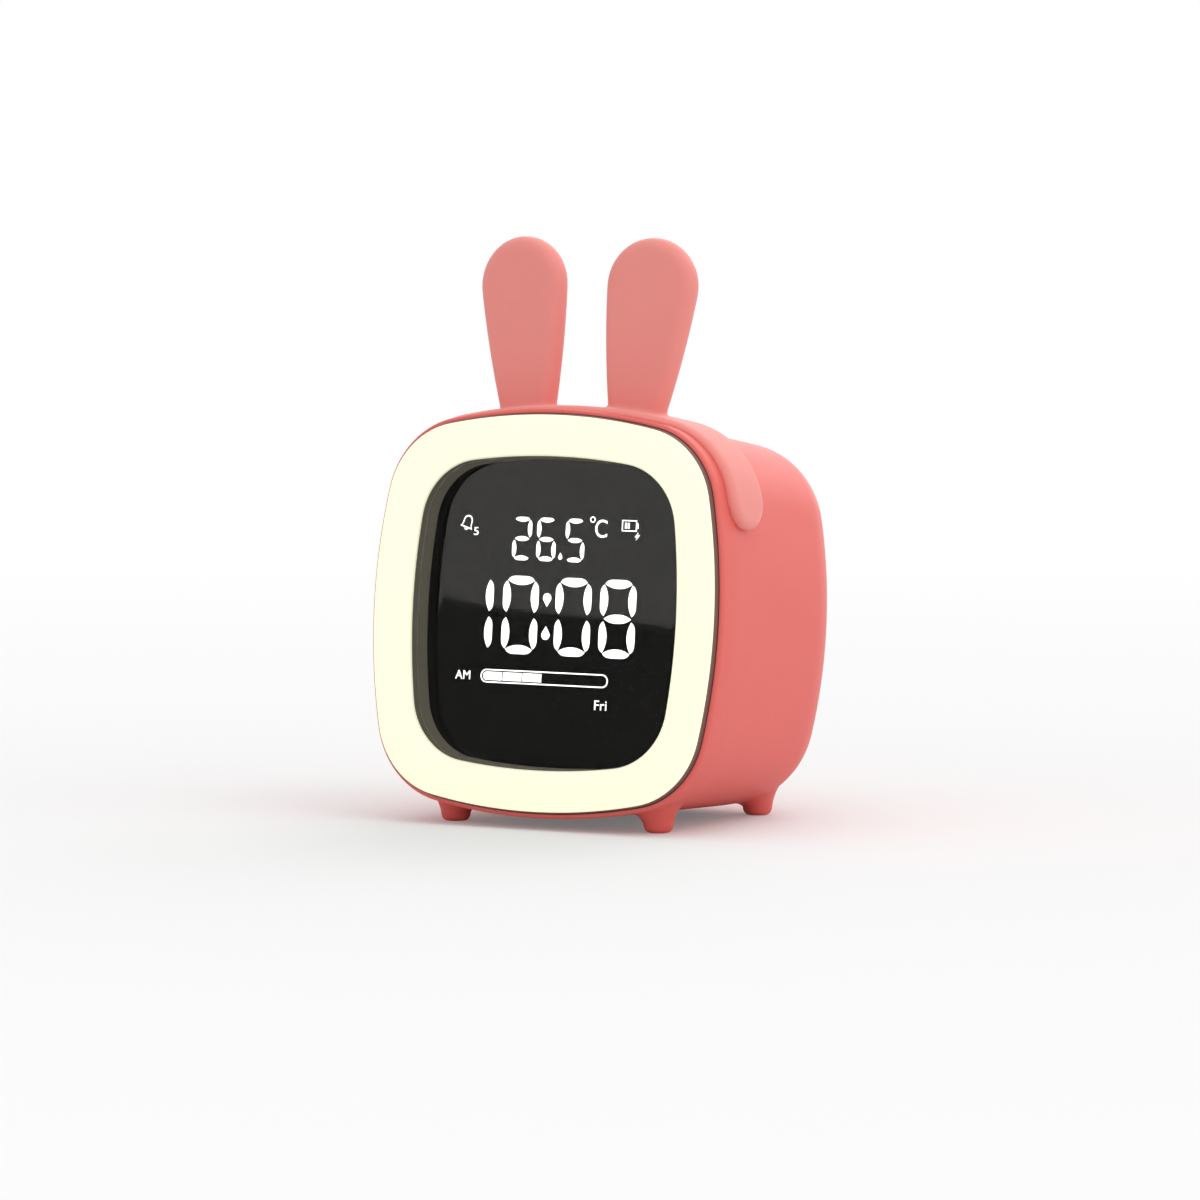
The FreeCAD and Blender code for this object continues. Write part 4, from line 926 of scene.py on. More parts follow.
def round_loop(radius: float, x: float, y: float, z: float, steps: int = 32) -> Loop:
    """A circle round a middle, in a plane of constant depth."""
    return [Vector((x + radius * math.cos(t), y, z + radius * math.sin(t))) for t in full_turn(steps)]


@dataclass(frozen=True)
class RearCover:
    """The domed rear cover with its grille, key openings, screw wells and socket opening."""

    housing: Housing
    screw_x: float = 20.6
    screw_z: float = 20.6
    screw_well: float = 2.4
    screw_seat: float = 1.8
    screw_turn: float = 0.35
    speaker_z: float = 9.5
    hole: float = 1.1
    pitch: float = 4.0
    rings: int = 2
    key_z: float = -9.0
    key_pitch: float = 9.0
    key_width: float = 7.2
    key_height: float = 4.8
    key_gap: float = 0.25
    socket_z: float = -18.0
    socket_width: float = 9.0
    socket_height: float = 3.3
    socket_gap: float = 0.35
    bar_sides: int = 20
    bar_reach: float = 2.0
    opening_reach: float = 3.0
    dome_steps: tuple[int, int] = (14, 8)

    def key_places(self) -> list[float]:
        """Middles of the four keys across the cover."""
        return [self.key_pitch * (i - 1.5) for i in range(4)]

    def screw_places(self) -> list[tuple[float, float]]:
        """Middles of the four screws."""
        return [(sx * self.screw_x, sz * self.screw_z) for sx in (1, -1) for sz in (1, -1)]

    def shell(self) -> bpy.types.Mesh:
        """The plain domed cover before anything is cut.

        Returns:
            A closed mesh.
        """
        home = self.housing
        edge = home.meeting(home.half_width - home.cover_inset, 0.0)
        outer = [home.cover_outline(0).loop(home.ledge()), home.cover_outline(0).loop(edge)]
        outer += home.dome(edge, 0.0, self.dome_steps[0])
        inner_edge = home.meeting(home.half_width - home.cover_inset - home.cover_rim, home.wall)
        inner = [home.cover_outline(-home.cover_rim).loop(y) for y in (home.ledge(), inner_edge)]
        inner += home.dome(inner_edge, home.wall, self.dome_steps[1])
        skin = Skin()
        rows = [skin.add(loop) for loop in reversed(outer)] + [skin.add(loop) for loop in inner]
        for a, b in zip(rows, rows[1:]):
            skin.bridge(a, b)
        skin.faces += [tuple(rows[0]), tuple(rows[-1])]
        return skin.mesh("rear_dome")

    def grille_tool(self) -> bpy.types.Mesh:
        """Round bars through every hole of the grille, in rings round the speaker's middle.

        Returns:
            One mesh of all the bars.
        """
        home = self.housing
        ends = (home.back - home.wall - self.bar_reach, home.back + self.bar_reach)
        bar = lofted("grille_bar", [round_loop(1.0, 0, y, 0, self.bar_sides) for y in ends])
        sizes = Vector((self.hole, 1, self.hole))
        spots = [(0.0, 0.0)] + [(self.pitch * ring, t) for ring in range(1, self.rings + 1)
                                for t in full_turn(6 * ring)]
        places = [(Vector((r * math.cos(t), 0, self.speaker_z + r * math.sin(t))), Vector((0, 0, 0)), sizes)
                  for r, t in spots]
        return Repeat("grille_bars", bar, places).mesh(CORAL_ABS)

    def tools(self) -> list[bpy.types.Mesh]:
        """Everything that is cut out of the cover.

        Returns:
            Closed meshes to cut with.
        """
        home = self.housing
        front, back = home.back - home.wall - self.opening_reach, home.back + self.bar_reach
        openings = Skin()
        pills = [(self.key_width, self.key_height, self.key_gap, x, self.key_z) for x in self.key_places()]
        pills.append((self.socket_width, self.socket_height, self.socket_gap, 0, self.socket_z))
        for width, height, gap, x, z in pills:
            openings.loft([pill_loop(width + 2 * gap, height + 2 * gap, x, y, z) for y in (front, back)])
        wells = Skin()
        for x, z in self.screw_places():
            wells.loft([round_loop(self.screw_well, x, y, z) for y in (home.ledge() + self.screw_seat, back)])
        return [self.grille_tool(), openings.mesh("openings"), wells.mesh("wells")]

    def build(self, bench: Bench) -> None:
        """Make the cover, its screws and set them in place.

        Args:
            bench: sets them in place.
        """
        home = self.housing
        mesh = cut(self.shell(), self.tools())
        bench.place("rear_cover_dome", mesh, CORAL_ABS, "coral_plastic", replaces=["rear_cover"], crease=30)
        seat = home.ledge() + self.screw_seat
        places = [(Vector((x, seat, z)), Vector((0, self.screw_turn * i, 0)), Vector((1, 1, 1)))
                  for i, (x, z) in enumerate(self.screw_places())]
        screws = Repeat("cover_screw_set", CrossScrew().mesh(), places).mesh(ZINC_STEEL)
        bench.place("cover_screw_heads", screws, ZINC_STEEL, "steel", replaces=["cover_screws"])


@dataclass(frozen=True)
class CrossScrew:
    """A small pan-head screw with a cross recess, its head seated at depth 0 and pointing back."""

    shank: float = 1.05
    length: float = 8.0
    head: float = 2.1
    height: float = 1.4
    arm: float = 1.15
    arm_half: float = 0.28
    recess: float = 0.8
    recess_draw: tuple[float, float] = (0.6, 0.8)
    tip: float = 0.5
    tip_length: float = 1.0
    crown: float = 0.6
    crown_steps: int = 4
    steps: int = 48

    def cross(self, arm: float, half: float, y: float) -> Loop:
        """A plus-shaped loop.

        Args:
            arm: how far the arms reach.
            half: half their width.
            y: depth.

        Returns:
            The points.
        """
        found = []
        for t in full_turn(self.steps):
            c, s = max(abs(math.cos(t)), 1e-6), max(abs(math.sin(t)), 1e-6)
            r = max(min(arm / c, half / s), min(arm / s, half / c))
            found.append(Vector((r * math.cos(t), y, r * math.sin(t))))
        return found

    def mesh(self) -> bpy.types.Mesh:
        """The screw as a closed mesh.

        Returns:
            The mesh.
        """
        profile = [(self.tip, -self.length), (self.shank, -self.length + self.tip_length), (self.shank, 0),
                   (self.head, 0), (self.head, self.height / 2)]
        profile += [(self.head - self.crown * (1 - math.cos(t)), self.height * (0.5 + 0.5 * math.sin(t)))
                    for t in quarter_turn(self.crown_steps)[1:]]
        loops = [round_loop(r, 0, y, 0, self.steps) for r, y in profile]
        loops.append(self.cross(self.arm, self.arm_half, self.height))
        arm, half = self.recess_draw
        loops.append(self.cross(self.arm * arm, self.arm_half * half, self.height - self.recess))
        return lofted("cross_screw", loops)


@dataclass(frozen=True)
class Dial:
    """Everything framed by the housing's front: glowing ring, smoked window and funnel frame."""

    ring: Outline = Outline(38.6, 38.9, 16.6, 117.5)
    window: Outline = Outline(29.8, 30.6, 13.1, 129.5)
    ring_thick: float = 3.0
    ring_round: float = 0.7
    groove: float = 2.8
    skin_thick: float = 2.0
    # Width of the dark brown hoop at the ring's outer edge, which paints the shadow in the gap between ring
    # and rim.
    gap_shade_width: float = 0.25
    window_gap: float = 0.12
    window_thick: float = 2.5
    window_round: float = 0.6
    lip: float = 0.35
    throat: float = 0.6
    glass_front: float = 5.5
    glass_back: float = 7.0
    pocket: float = 1.5
    frame_back: float = 11.4
    outer_round: float = 0.3
    hairline: float = 0.01
    seat_gap: float = 0.05
    hoop_lap: float = 0.8
    steps: int = 5

    def edge(self, outline: Outline, radius: float, draw: float) -> list[Loop]:
        """Loops of a rounded front edge, from the front face to full depth.

        Args:
            outline: the outline at full size.
            radius: the rounding.
            draw: 1 draws the front in, -1 opens it out.

        Returns:
            The loops from the front face back.
        """
        return [outline.grown(-draw * radius * (1 - math.sin(t))).loop(radius * (1 - math.cos(t)))
                for t in quarter_turn(self.steps)]

    def glowing_ring(self) -> bpy.types.Mesh:
        """The ring inside the hoop of painted gap shade: rounded towards the window, a groove behind.

        Returns:
            The ring's mesh.
        """
        lit = self.ring.grown(-self.gap_shade_width - self.hairline)
        near, far = self.window.grown(self.groove), self.ring.grown(-self.groove)
        loops = [lit.loop(self.ring_thick), lit.loop(0.5 * self.ring_round)]
        loops += list(reversed(self.edge(lit, self.outer_round * self.ring_round, 1)))
        loops += self.edge(self.window, self.ring_round, -1)
        loops += [self.window.loop(self.ring_thick), near.loop(self.ring_thick), near.loop(self.skin_thick),
                  far.loop(self.skin_thick), far.loop(self.ring_thick)]
        return lofted("glowing_ring", loops, ring=True)

    def masked_edge(self) -> bpy.types.Mesh:
        """The ring's outermost edge as a thin hoop with the ring's own rounding, in painted shade: it stands
        in for the shadow in the gap between ring and rim.

        Returns:
            The hoop's mesh.
        """
        inner = self.ring.grown(-self.gap_shade_width)
        rounding = [loop for loop in reversed(self.edge(self.ring, self.ring_round, 1))
                    if loop[0].x > inner.half_width]
        front = rounding[-1][0].y * self.hoop_lap
        return lofted("masked_edge", [self.ring.loop(self.ring_thick)] + rounding
                      + [inner.loop(front), inner.loop(self.ring_thick)], ring=True)

    def smoked_window(self) -> bpy.types.Mesh:
        """The clear plate with its softened front edge.

        Returns:
            The plate's mesh.
        """
        outline = self.window.grown(-self.window_gap)
        return lofted("smoked_window", self.edge(outline, self.window_round, 1)
                      + [outline.loop(self.window_thick)])

    def funnel_frame(self) -> bpy.types.Mesh:
        """The frame whose walls draw in a little from the window to the display.

        Returns:
            The frame's mesh.
        """
        outline, pocket = self.window.grown(-self.window_gap), self.window.grown(-self.pocket)
        throat, lip = self.window.grown(-self.throat), self.window.grown(-self.lip)
        seat = self.glass_back + self.seat_gap
        return lofted("funnel_frame", [
            outline.loop(self.window_thick), outline.loop(self.frame_back), pocket.loop(self.frame_back),
            pocket.loop(seat), throat.loop(seat), throat.loop(self.glass_front),
            lip.loop(self.window_thick)], ring=True)

    def edge_band(self) -> bpy.types.Mesh:
        """The dark band round the window's edge, which shuts the ring's light out.

        Returns:
            The band's mesh.
        """
        outer = self.window.grown(-self.hairline)
        inner = self.window.grown(-self.window_gap + self.hairline)
        front = self.ring_round + self.seat_gap
        return lofted("edge_band", [
            outer.loop(front), outer.loop(self.window_thick), inner.loop(self.window_thick),
            inner.loop(front)], ring=True)

    def glass_plate(self) -> bpy.types.Mesh:
        """The black glass that carries the read-out."""
        outline = self.window.grown(-self.throat - 2 * self.hairline)
        return lofted("glass_plate", [outline.loop(y) for y in (self.glass_front, self.glass_back)])

    def build(self, bench: Bench) -> None:
        """Make the front's pieces and set them in place.

        Args:
            bench: sets them in place.
        """
        for name, mesh, finish, slot, replaces in (
                ("display_plate", self.glass_plate(), BLACK_GLASS, "display_black", ["display_glass"]),
                ("glowing_ring", self.glowing_ring(), OPAL_ACRYLIC, "milky_ring", ["light_ring"]),
                # The dark brown hoop is painted shade for the gap between ring and rim.
                ("ring_masked_edge", self.masked_edge(), RING_GAP_SHADE, "milky_ring", []),
                ("smoked_window", self.smoked_window(), COATED_ACRYLIC, "smoked_window", ["display_window"]),
                # The edge band and the funnel wear painted light: a lighter grey-brown and a glow for the
                # ring's light that creeps in.
                ("window_edge_band", self.edge_band(), RING_GLOW_PAINTED_ABS, "black_plastic", []),
                ("funnel_frame", self.funnel_frame(), RING_GLOW_PAINTED_ABS, "black_plastic", ["display_frame"])):
            bench.place(name, mesh, finish, slot, replaces=replaces)


class Stroke(Enum):
    """The seven strokes of a digit: middle as shares of the cell, and the outer side's turn from the top."""

    TOP = (0.0, 1.0, 0.0)
    UPPER_RIGHT = (1.0, 0.5, 90.0)
    LOWER_RIGHT = (1.0, -0.5, 90.0)
    BOTTOM = (0.0, -1.0, 180.0)
    LOWER_LEFT = (-1.0, -0.5, -90.0)
    UPPER_LEFT = (-1.0, 0.5, -90.0)
    MIDDLE = (0.0, 0.0, 0.0)


SHOWN: dict[str, tuple[Stroke, ...]] = {
    "0": tuple(part for part in Stroke if part is not Stroke.MIDDLE),
    "1": (Stroke.UPPER_RIGHT, Stroke.LOWER_RIGHT),
    "2": (Stroke.TOP, Stroke.UPPER_RIGHT, Stroke.MIDDLE, Stroke.LOWER_LEFT, Stroke.BOTTOM),
    "5": (Stroke.TOP, Stroke.UPPER_LEFT, Stroke.MIDDLE, Stroke.LOWER_RIGHT, Stroke.BOTTOM),
    "6": (Stroke.TOP, Stroke.UPPER_LEFT, Stroke.MIDDLE, Stroke.LOWER_RIGHT, Stroke.BOTTOM, Stroke.LOWER_LEFT),
    "8": tuple(Stroke),
}


@dataclass(frozen=True)
class ReadOut:
    """A generic time, temperature and weekday read-out, printed in light on the display glass."""

    front: float = 5.44
    back: float = 5.48
    big: tuple[float, float, float] = (8.1, 15.3, 1.78)
    small: tuple[float, float, float] = (4.35, 8.5, 0.95)
    big_places: tuple[tuple[str, float], ...] = (("1", -18.3), ("0", -8.05), ("0", 3.9), ("8", 13.95))
    big_z: float = -0.5
    small_places: tuple[tuple[str, float], ...] = (("2", -8.39), ("6", -2.88), ("5", 3.6))
    small_z: float = 14.45
    line: float = 0.22
    leaf_steps: int = 16
    side_powers: tuple[float, float] = (5.0, 2.2)
    middle_powers: tuple[float, float] = (2.6, 2.6)
    end_gaps: tuple[float, float] = (0.36, 1.12)
    side_shift: float = 0.0135
    drops: tuple[tuple[float, float, float, float], ...] = (
        (-2.07, 3.05, 0.93, -1.75), (-2.07, -4.2, 0.93, 1.75), (0.45, 11.05, 0.45, 0.95))
    degree: tuple[float, float, float, float] = (0.62, 0.38, 7.42, 18.65)
    bar: tuple[float, float, float, float] = (28.87, 2.66, -1.95, -12.65)
    bar_line: float = 0.25
    bar_low_high: tuple[float, float] = (-13.47, -11.83)
    words: tuple[tuple[str, str, tuple[float, float, float, float]], ...] = (
        ("word_am", "AM", (-22.16, -18.76, -13.5, -11.8)),
        ("word_day", "Fri", (9.68, 12.43, -18.3, -16.45)),
        ("word_degree", "C", (8.05, 10.75, 15.2, 18.7)),
        ("word_snooze", "5", (-19.45, -18.4, 14.8, 16.35)))

    def leaf(self, outer: float, inner: float) -> bpy.types.Mesh:
        """One stroke of unit length and width with pointed ends.

        Args:
            outer: power of the outer side's curve: higher is straighter.
            inner: power of the inner side's curve.

        Returns:
            The stroke's mesh, its outer side up.
        """
        shares = [-1 + 2 * i / self.leaf_steps for i in range(1, self.leaf_steps)]
        lower = [(u / 2, -0.5 * (1 - abs(u) ** inner)) for u in shares]
        upper = [(u / 2, 0.5 * (1 - abs(u) ** outer)) for u in reversed(shares)]
        skin = Skin()
        skin.plate([(-0.5, 0.0)] + lower + [(0.5, 0.0)] + upper, 0.0, self.back - self.front)
        return skin.mesh("leaf")

    def digit(self, sign: str, cell: tuple[float, float, float], x: float, z: float,
              middle_only: bool) -> list[Place]:
        """Places of a digit's strokes.

        Args:
            sign: the digit.
            cell: width, height and stroke width.
            x: the cell's middle across.
            z: the cell's middle height.
            middle_only: give the middle stroke alone, or all the others.

        Returns:
            Places for Repeat.
        """
        width, height, stroke = cell
        found = []
        for part in SHOWN[sign]:
            if (part is Stroke.MIDDLE) != middle_only:
                continue
            across, up, way = part.value
            upright = abs(way) == 90
            rise = up * (height - stroke) / 2
            length = width - self.end_gaps[1] * stroke
            if upright:
                rise += math.copysign(self.side_shift * height, up)
                length = (height - stroke) / 2 - self.end_gaps[0] * stroke
            found.append((Vector((x + across * (width - stroke) / 2, self.front, z + rise)),
                          Vector((0, math.radians(way), 0)), Vector((length, 1, stroke))))
        return found

    def drop(self, x: float, y: float, z: float, radius: float, point: float) -> Loop:
        """A round drop with a point above (positive) or below (negative) it.

        Args:
            x: middle across.
            y: depth.
            z: middle of its round part.
            radius: of its round part.
            point: how far the point lies from the middle.

        Returns:
            The points.
        """
        reach, side = abs(point), math.copysign(1, point)
        touch = math.acos(radius / reach)
        turns = [touch + (2 * math.pi - 2 * touch) * i / 24 for i in range(25)]
        rim = [Vector((x + radius * math.sin(t), y, z + side * radius * math.cos(t))) for t in turns]
        return [Vector((x, y, z + point))] + rim

    def hollow(self, skin: Skin, outer: Corners, inner: Corners) -> None:
        """Add a flat ring between two (x, z) outlines with the same number of points."""
        rows = ((outer, self.front), (outer, self.back), (inner, self.back), (inner, self.front))
        skin.loft([[Vector((x, y, z)) for x, z in corners] for corners, y in rows], ring=True)

    def dots(self, skin: Skin) -> None:
        """Add the colon, the decimal point, the degree ring and the hollow bar under the time.

        Args:
            skin: the skin that gets them.
        """
        for x, z, radius, point in self.drops:
            skin.loft([self.drop(x, y, z, radius, point) for y in (self.front, self.back)])
        outer, inner, x, z = self.degree
        rings = [[(p.x, p.z) for p in round_loop(r, x, 0, z, 24)] for r in (outer, inner)]
        self.hollow(skin, rings[0], rings[1])
        width, height, x, z = self.bar
        pills = [[(p.x, p.z) for p in pill_loop(width - draw, height - draw, x, 0, z, 10)]
                 for draw in (0, 2 * self.bar_line)]
        self.hollow(skin, pills[0], pills[1])

    def icons(self, skin: Skin) -> None:
        """Add the battery, its bolt, the bell and what fills the bar under the time.

        Args:
            skin: the skin that gets them.
        """
        case = (14.0, 17.35, 16.6, 18.8)
        inside = [side + way * self.line for side, way in zip(case, (1, -1, 1, -1))]
        self.hollow(skin, box(*case), box(*inside))
        dome = [(1.0 * math.cos(t), 0.35 + 1.05 * math.sin(t)) for t in [math.pi * i / 12 for i in range(13)]]
        bell = [(-1.4, -1.15), (1.4, -1.15), (1.05, -0.6)] + dome + [(-1.05, -0.6)]
        outer, inner = (turned(bell, math.radians(-17), -20.95, 17.3, size) for size in (1.0, 0.8))
        self.hollow(skin, outer, inner)
        low, high = self.bar_low_high
        end = [(-15.0 + 0.8 * math.cos(t), (low + high) / 2 + (high - low) / 2 * math.sin(t))
               for t in [math.pi / 2 + math.pi * i / 10 for i in range(11)]]
        plates = {
            "battery cap": box(17.36, 17.7, 17.15, 18.25),
            "battery bars": box(14.68, 15.1, 17.12, 18.28),
            "second battery bar": box(15.3, 15.72, 17.12, 18.28),
            "bolt": [(17.75, 16.5), (16.95, 15.5), (17.5, 15.5), (17.2, 14.85), (18.15, 15.95),
                     (17.65, 15.95)],
            "clapper": [(-21.75, 16.2), (-20.85, 15.93), (-21.1, 15.72), (-21.55, 15.85)],
            "round end of the bar": end + [(-11.55, low), (-11.55, high)],
            "second part of the bar": box(-11.3, -7.05, low, high),
            "third part of the bar": box(-6.8, -2.55, low, high),
        }
        for corners in plates.values():
            skin.plate(corners, self.front, self.back)

    def word(self, text: str, room: tuple[float, float, float, float]) -> bpy.types.Mesh:
        """A short word fitted into a box.

        Args:
            text: the word.
            room: left, right, bottom and top.
            box: left, right, bottom and top.

        Returns:
            Its mesh in the clock's frame.
        """
        curve = bpy.data.curves.new("word", "FONT")
        curve.body = text
        curve.extrude = (self.back - self.front) / 2
        holder = linked("word", curve)
        mesh = applied(holder)
        discard(holder)
        xs = [v.co.x for v in mesh.vertices]
        ys = [v.co.y for v in mesh.vertices]
        left, right, bottom, top = room
        wide, high = (right - left) / (max(xs) - min(xs)), (top - bottom) / (max(ys) - min(ys))
        depth = (self.front + self.back) / 2
        for v in mesh.vertices:
            x, y, z = v.co
            v.co = (left + (x - min(xs)) * wide, depth - z, bottom + (y - min(ys)) * high)
        return mesh

    def build(self, bench: Bench) -> None:
        """Make the read-out and set it in place.

        Args:
            bench: sets it in place.
        """
        cells = [(sign, self.big, x, self.big_z) for sign, x in self.big_places]
        cells += [(sign, self.small, x, self.small_z) for sign, x in self.small_places]
        for name, item, middle_only in (("read_out_strokes", self.leaf(*self.side_powers), False),
                                        ("read_out_bars", self.leaf(*self.middle_powers), True)):
            places = [place for cell in cells for place in self.digit(*cell, middle_only)]
            strokes = Repeat(name, item, places).mesh(LIT_MARK)
            bench.place(name, strokes, LIT_MARK, "lamp_white", crease=30)
        signs = Skin()
        self.dots(signs)
        self.icons(signs)
        bench.place("read_out_icons", signs.mesh("read_out_icons"), LIT_MARK, "lamp_white", crease=30)
        for name, text, room in self.words:
            bench.place(name, self.word(text, room), LIT_MARK, "lamp_white", crease=30)


@dataclass(frozen=True)
class Headband:
    """The soft band over the roof with its two upright ears, moulded as one."""

    housing: Housing
    middle_y: float = 11.4
    width: float = 12.2
    side_thick: float = 2.2
    top_thick: float = 1.5
    end_z: float = 23.6
    edge_round: float = 1.5
    sunk: float = 0.25
    stations: int = 150
    across: int = 28
    end_steps: int = 16
    outline_steps: int = 60
    path_steps: int = 2000
    thinnest: float = 0.02
    ear_x: float = 12.3
    ear_lean: float = 5.2
    ear_turn: float = 3.5
    ear_y: float = 12.1
    ear_thick: float = 5.0
    ear_edge: float = 2.3
    ear_base: float = 6.0
    ear_top: float = 9.6
    ear_height: float = 34.2
    ear_widest: float = 5.0
    ear_sunk: float = 2.4
    ear_steps: tuple[int, int, int, int] = (4, 16, 32, 16)
    voxel: float = 0.36
    softening: float = 0.5
    smoothing: int = 8

    def path(self) -> list[tuple[Vector, Vector]]:
        """Points and outward normals over the roof, from the right side's end to the left's.

        Returns:
            Evenly spaced (point, normal) pairs at the band's middle depth.
        """
        outline = self.housing.section(self.middle_y)
        dense = Outline(outline.half_width, outline.half_height, outline.corner, outline.crown,
                        self.outline_steps, self.outline_steps)
        loop = dense.loop(self.middle_y)
        half = loop[:len(loop) // 2 + 1]
        lengths = [0.0]
        for a, b in zip(half, half[1:]):
            lengths.append(lengths[-1] + (b - a).length)
        found = []
        total, at = lengths[-1], 0
        for i in range(self.path_steps + 1):
            want = total * i / self.path_steps
            while at < len(lengths) - 2 and lengths[at + 1] < want:
                at += 1
            share = (want - lengths[at]) / (lengths[at + 1] - lengths[at])
            point = half[at].lerp(half[at + 1], share)
            ahead = (half[at + 1] - half[at]).normalized()
            found.append((point, Vector((ahead.z, 0, -ahead.x))))
        return found

    def thickness(self, normal: Vector) -> float:
        """Full thickness of the band where the surface faces a way."""
        return self.side_thick * normal.x ** 2 + self.top_thick * normal.z ** 2

    def rise(self, edge: float, thick: float) -> float:
        """Height over the housing at a distance from the band's edge.

        Args:
            edge: distance from the edge.
            thick: full thickness there.

        Returns:
            The height.
        """
        radius = min(self.edge_round, thick)
        inside = min(max(edge, 0.0), radius)
        return thick - radius + math.sqrt(radius * radius - (radius - inside) ** 2)

    def band(self, skin: Skin) -> None:
        """Add the band: thick in the middle, rounded to its edges and ends.

        Args:
            skin: the skin that gets it.
        """
        path = self.path()
        step = (path[1][0] - path[0][0]).length
        half = self.width / 2
        first = next(i for i, (p, _) in enumerate(path) if p.z >= self.end_z)
        last = len(path) - 1 - first
        reach = int(half / step)
        ends = [reach * math.sin(t) for t in reversed(quarter_turn(self.end_steps)[1:])]
        middle = self.stations - 2 * self.end_steps
        marks = [first - e for e in ends]
        marks += [first + (last - first) * i / middle for i in range(middle + 1)]
        marks += [last + e for e in reversed(ends)]
        top_rows, low_rows = [], []
        for mark in marks:
            i = min(max(int(round(mark)), 0), len(path) - 1)
            point, normal = path[i]
            beyond = max(first - mark, mark - last, 0.0) * step
            spread = math.sqrt(max(half * half - beyond * beyond, self.thinnest ** 2))
            top, low = [], []
            for j in range(self.across + 1):
                t = math.sin(math.pi / 2 * (2 * j / self.across - 1))
                y = spread * t
                rise = self.rise(half - math.hypot(y, beyond), self.thickness(normal))
                base = self.housing.shrink(self.middle_y) - self.housing.shrink(self.middle_y + y) - self.sunk
                spot = point + Vector((0, y, 0))
                top.append(spot + normal * max(rise, base + self.thinnest))
                low.append(spot + normal * base)
            top_rows.append(skin.add(top))
            low_rows.append(skin.add(low))
        for rows, flip in ((top_rows, False), (low_rows, True)):
            for a, b in zip(rows, rows[1:]):
                for j in range(self.across):
                    quad = (a[j], a[j + 1], b[j + 1], b[j])
                    skin.faces.append(tuple(reversed(quad)) if flip else quad)
        for j in (0, self.across):
            for i in range(len(marks) - 1):
                skin.faces.append((top_rows[i][j], top_rows[i + 1][j], low_rows[i + 1][j], low_rows[i][j]))
        for i in (0, len(marks) - 1):
            for j in range(self.across):
                skin.faces.append((top_rows[i][j], top_rows[i][j + 1], low_rows[i][j + 1], low_rows[i][j]))

    def ear_loop(self, inset: float, y: float) -> Loop:
        """One section of an ear: slightly full sides that run into a round top.

        Args:
            inset: how far inside the full outline.
            y: depth of the section.

        Returns:
            The points, from the right foot over the top to the left foot.
        """
        base, top = self.ear_base - inset, self.ear_top - inset
        middle = self.ear_height - self.ear_top
        start = -math.radians(self.ear_widest)
        touch_x, touch_z = top * math.cos(start), middle + top * math.sin(start)
        chord, last = (touch_x - base) / touch_z, -math.tan(start)
        first = 2 * chord - last
        foot, side, round_top, _ = self.ear_steps
        found = [Vector((base - first * self.ear_sunk * (1 - i / foot), y, -self.ear_sunk * (1 - i / foot)))
                 for i in range(foot)]
        for i in range(side):
            u = i / side
            x = base + touch_z * (first * u + (last - first) * u * u / 2)
            found.append(Vector((x, y, touch_z * u)))
        for i in range(round_top + 1):
            t = start + (math.pi - 2 * start) * i / round_top
            found.append(Vector((top * math.cos(t), y, middle + top * math.sin(t))))
        return found + [Vector((-p.x, y, p.z)) for p in reversed(found[:foot + side])]

    def ear(self, skin: Skin, side: int) -> None:
        """Add one ear: a flat paddle with a full round edge, leaning and turned outwards.

        Args:
            skin: the skin that gets it.
            side: 1 for the right one, -1 for the left one.
        """
        loops = []
        steps = self.ear_steps[-1]
        for i in range(steps + 1):
            t = math.pi * (i / steps - 0.5)
            inset = self.ear_edge * (1 - math.cos(t))
            flat = (self.ear_thick / 2 - self.ear_edge) * ((i > steps / 2) - (i < steps / 2))
            loops.append(self.ear_loop(inset, flat + self.ear_edge * math.sin(t)))
        place = Matrix.Translation((side * self.ear_x, 0, self.housing.half_height))
        place = place @ Matrix.Rotation(math.radians(side * self.ear_lean), 4, "Y")
        place = place @ Matrix.Translation((0, self.ear_y, 0))
        place = place @ Matrix.Rotation(math.radians(side * self.ear_turn), 4, "Z")
        skin.loft([[place @ p for p in loop] for loop in loops])

    def build(self, bench: Bench) -> None:
        """Make the headband in one skin and set it in place.

        Args:
            bench: sets it in place.
        """
        skin = Skin()
        self.band(skin)
        self.ear(skin, -1)
        self.ear(skin, 1)
        work = scratch(skin.mesh("headband"))
        grown = work.modifiers.new("one_skin", "REMESH")
        grown.mode = "VOXEL"
        grown.voxel_size = self.voxel
        soft = work.modifiers.new("soften", "SMOOTH")
        soft.factor = self.softening
        soft.iterations = self.smoothing
        mesh = applied(work)
        discard(work)
        bench.place("soft_headband", mesh, PINK_SILICONE, "pink_silicone", replaces=["ear_headband"],
                    crease=None)


class Mark(Enum):
    """What a rear key does, and so the mark printed on it."""

    SET = "set"
    DOWN = "down"
    UP = "up"
    LAMP = "lamp"


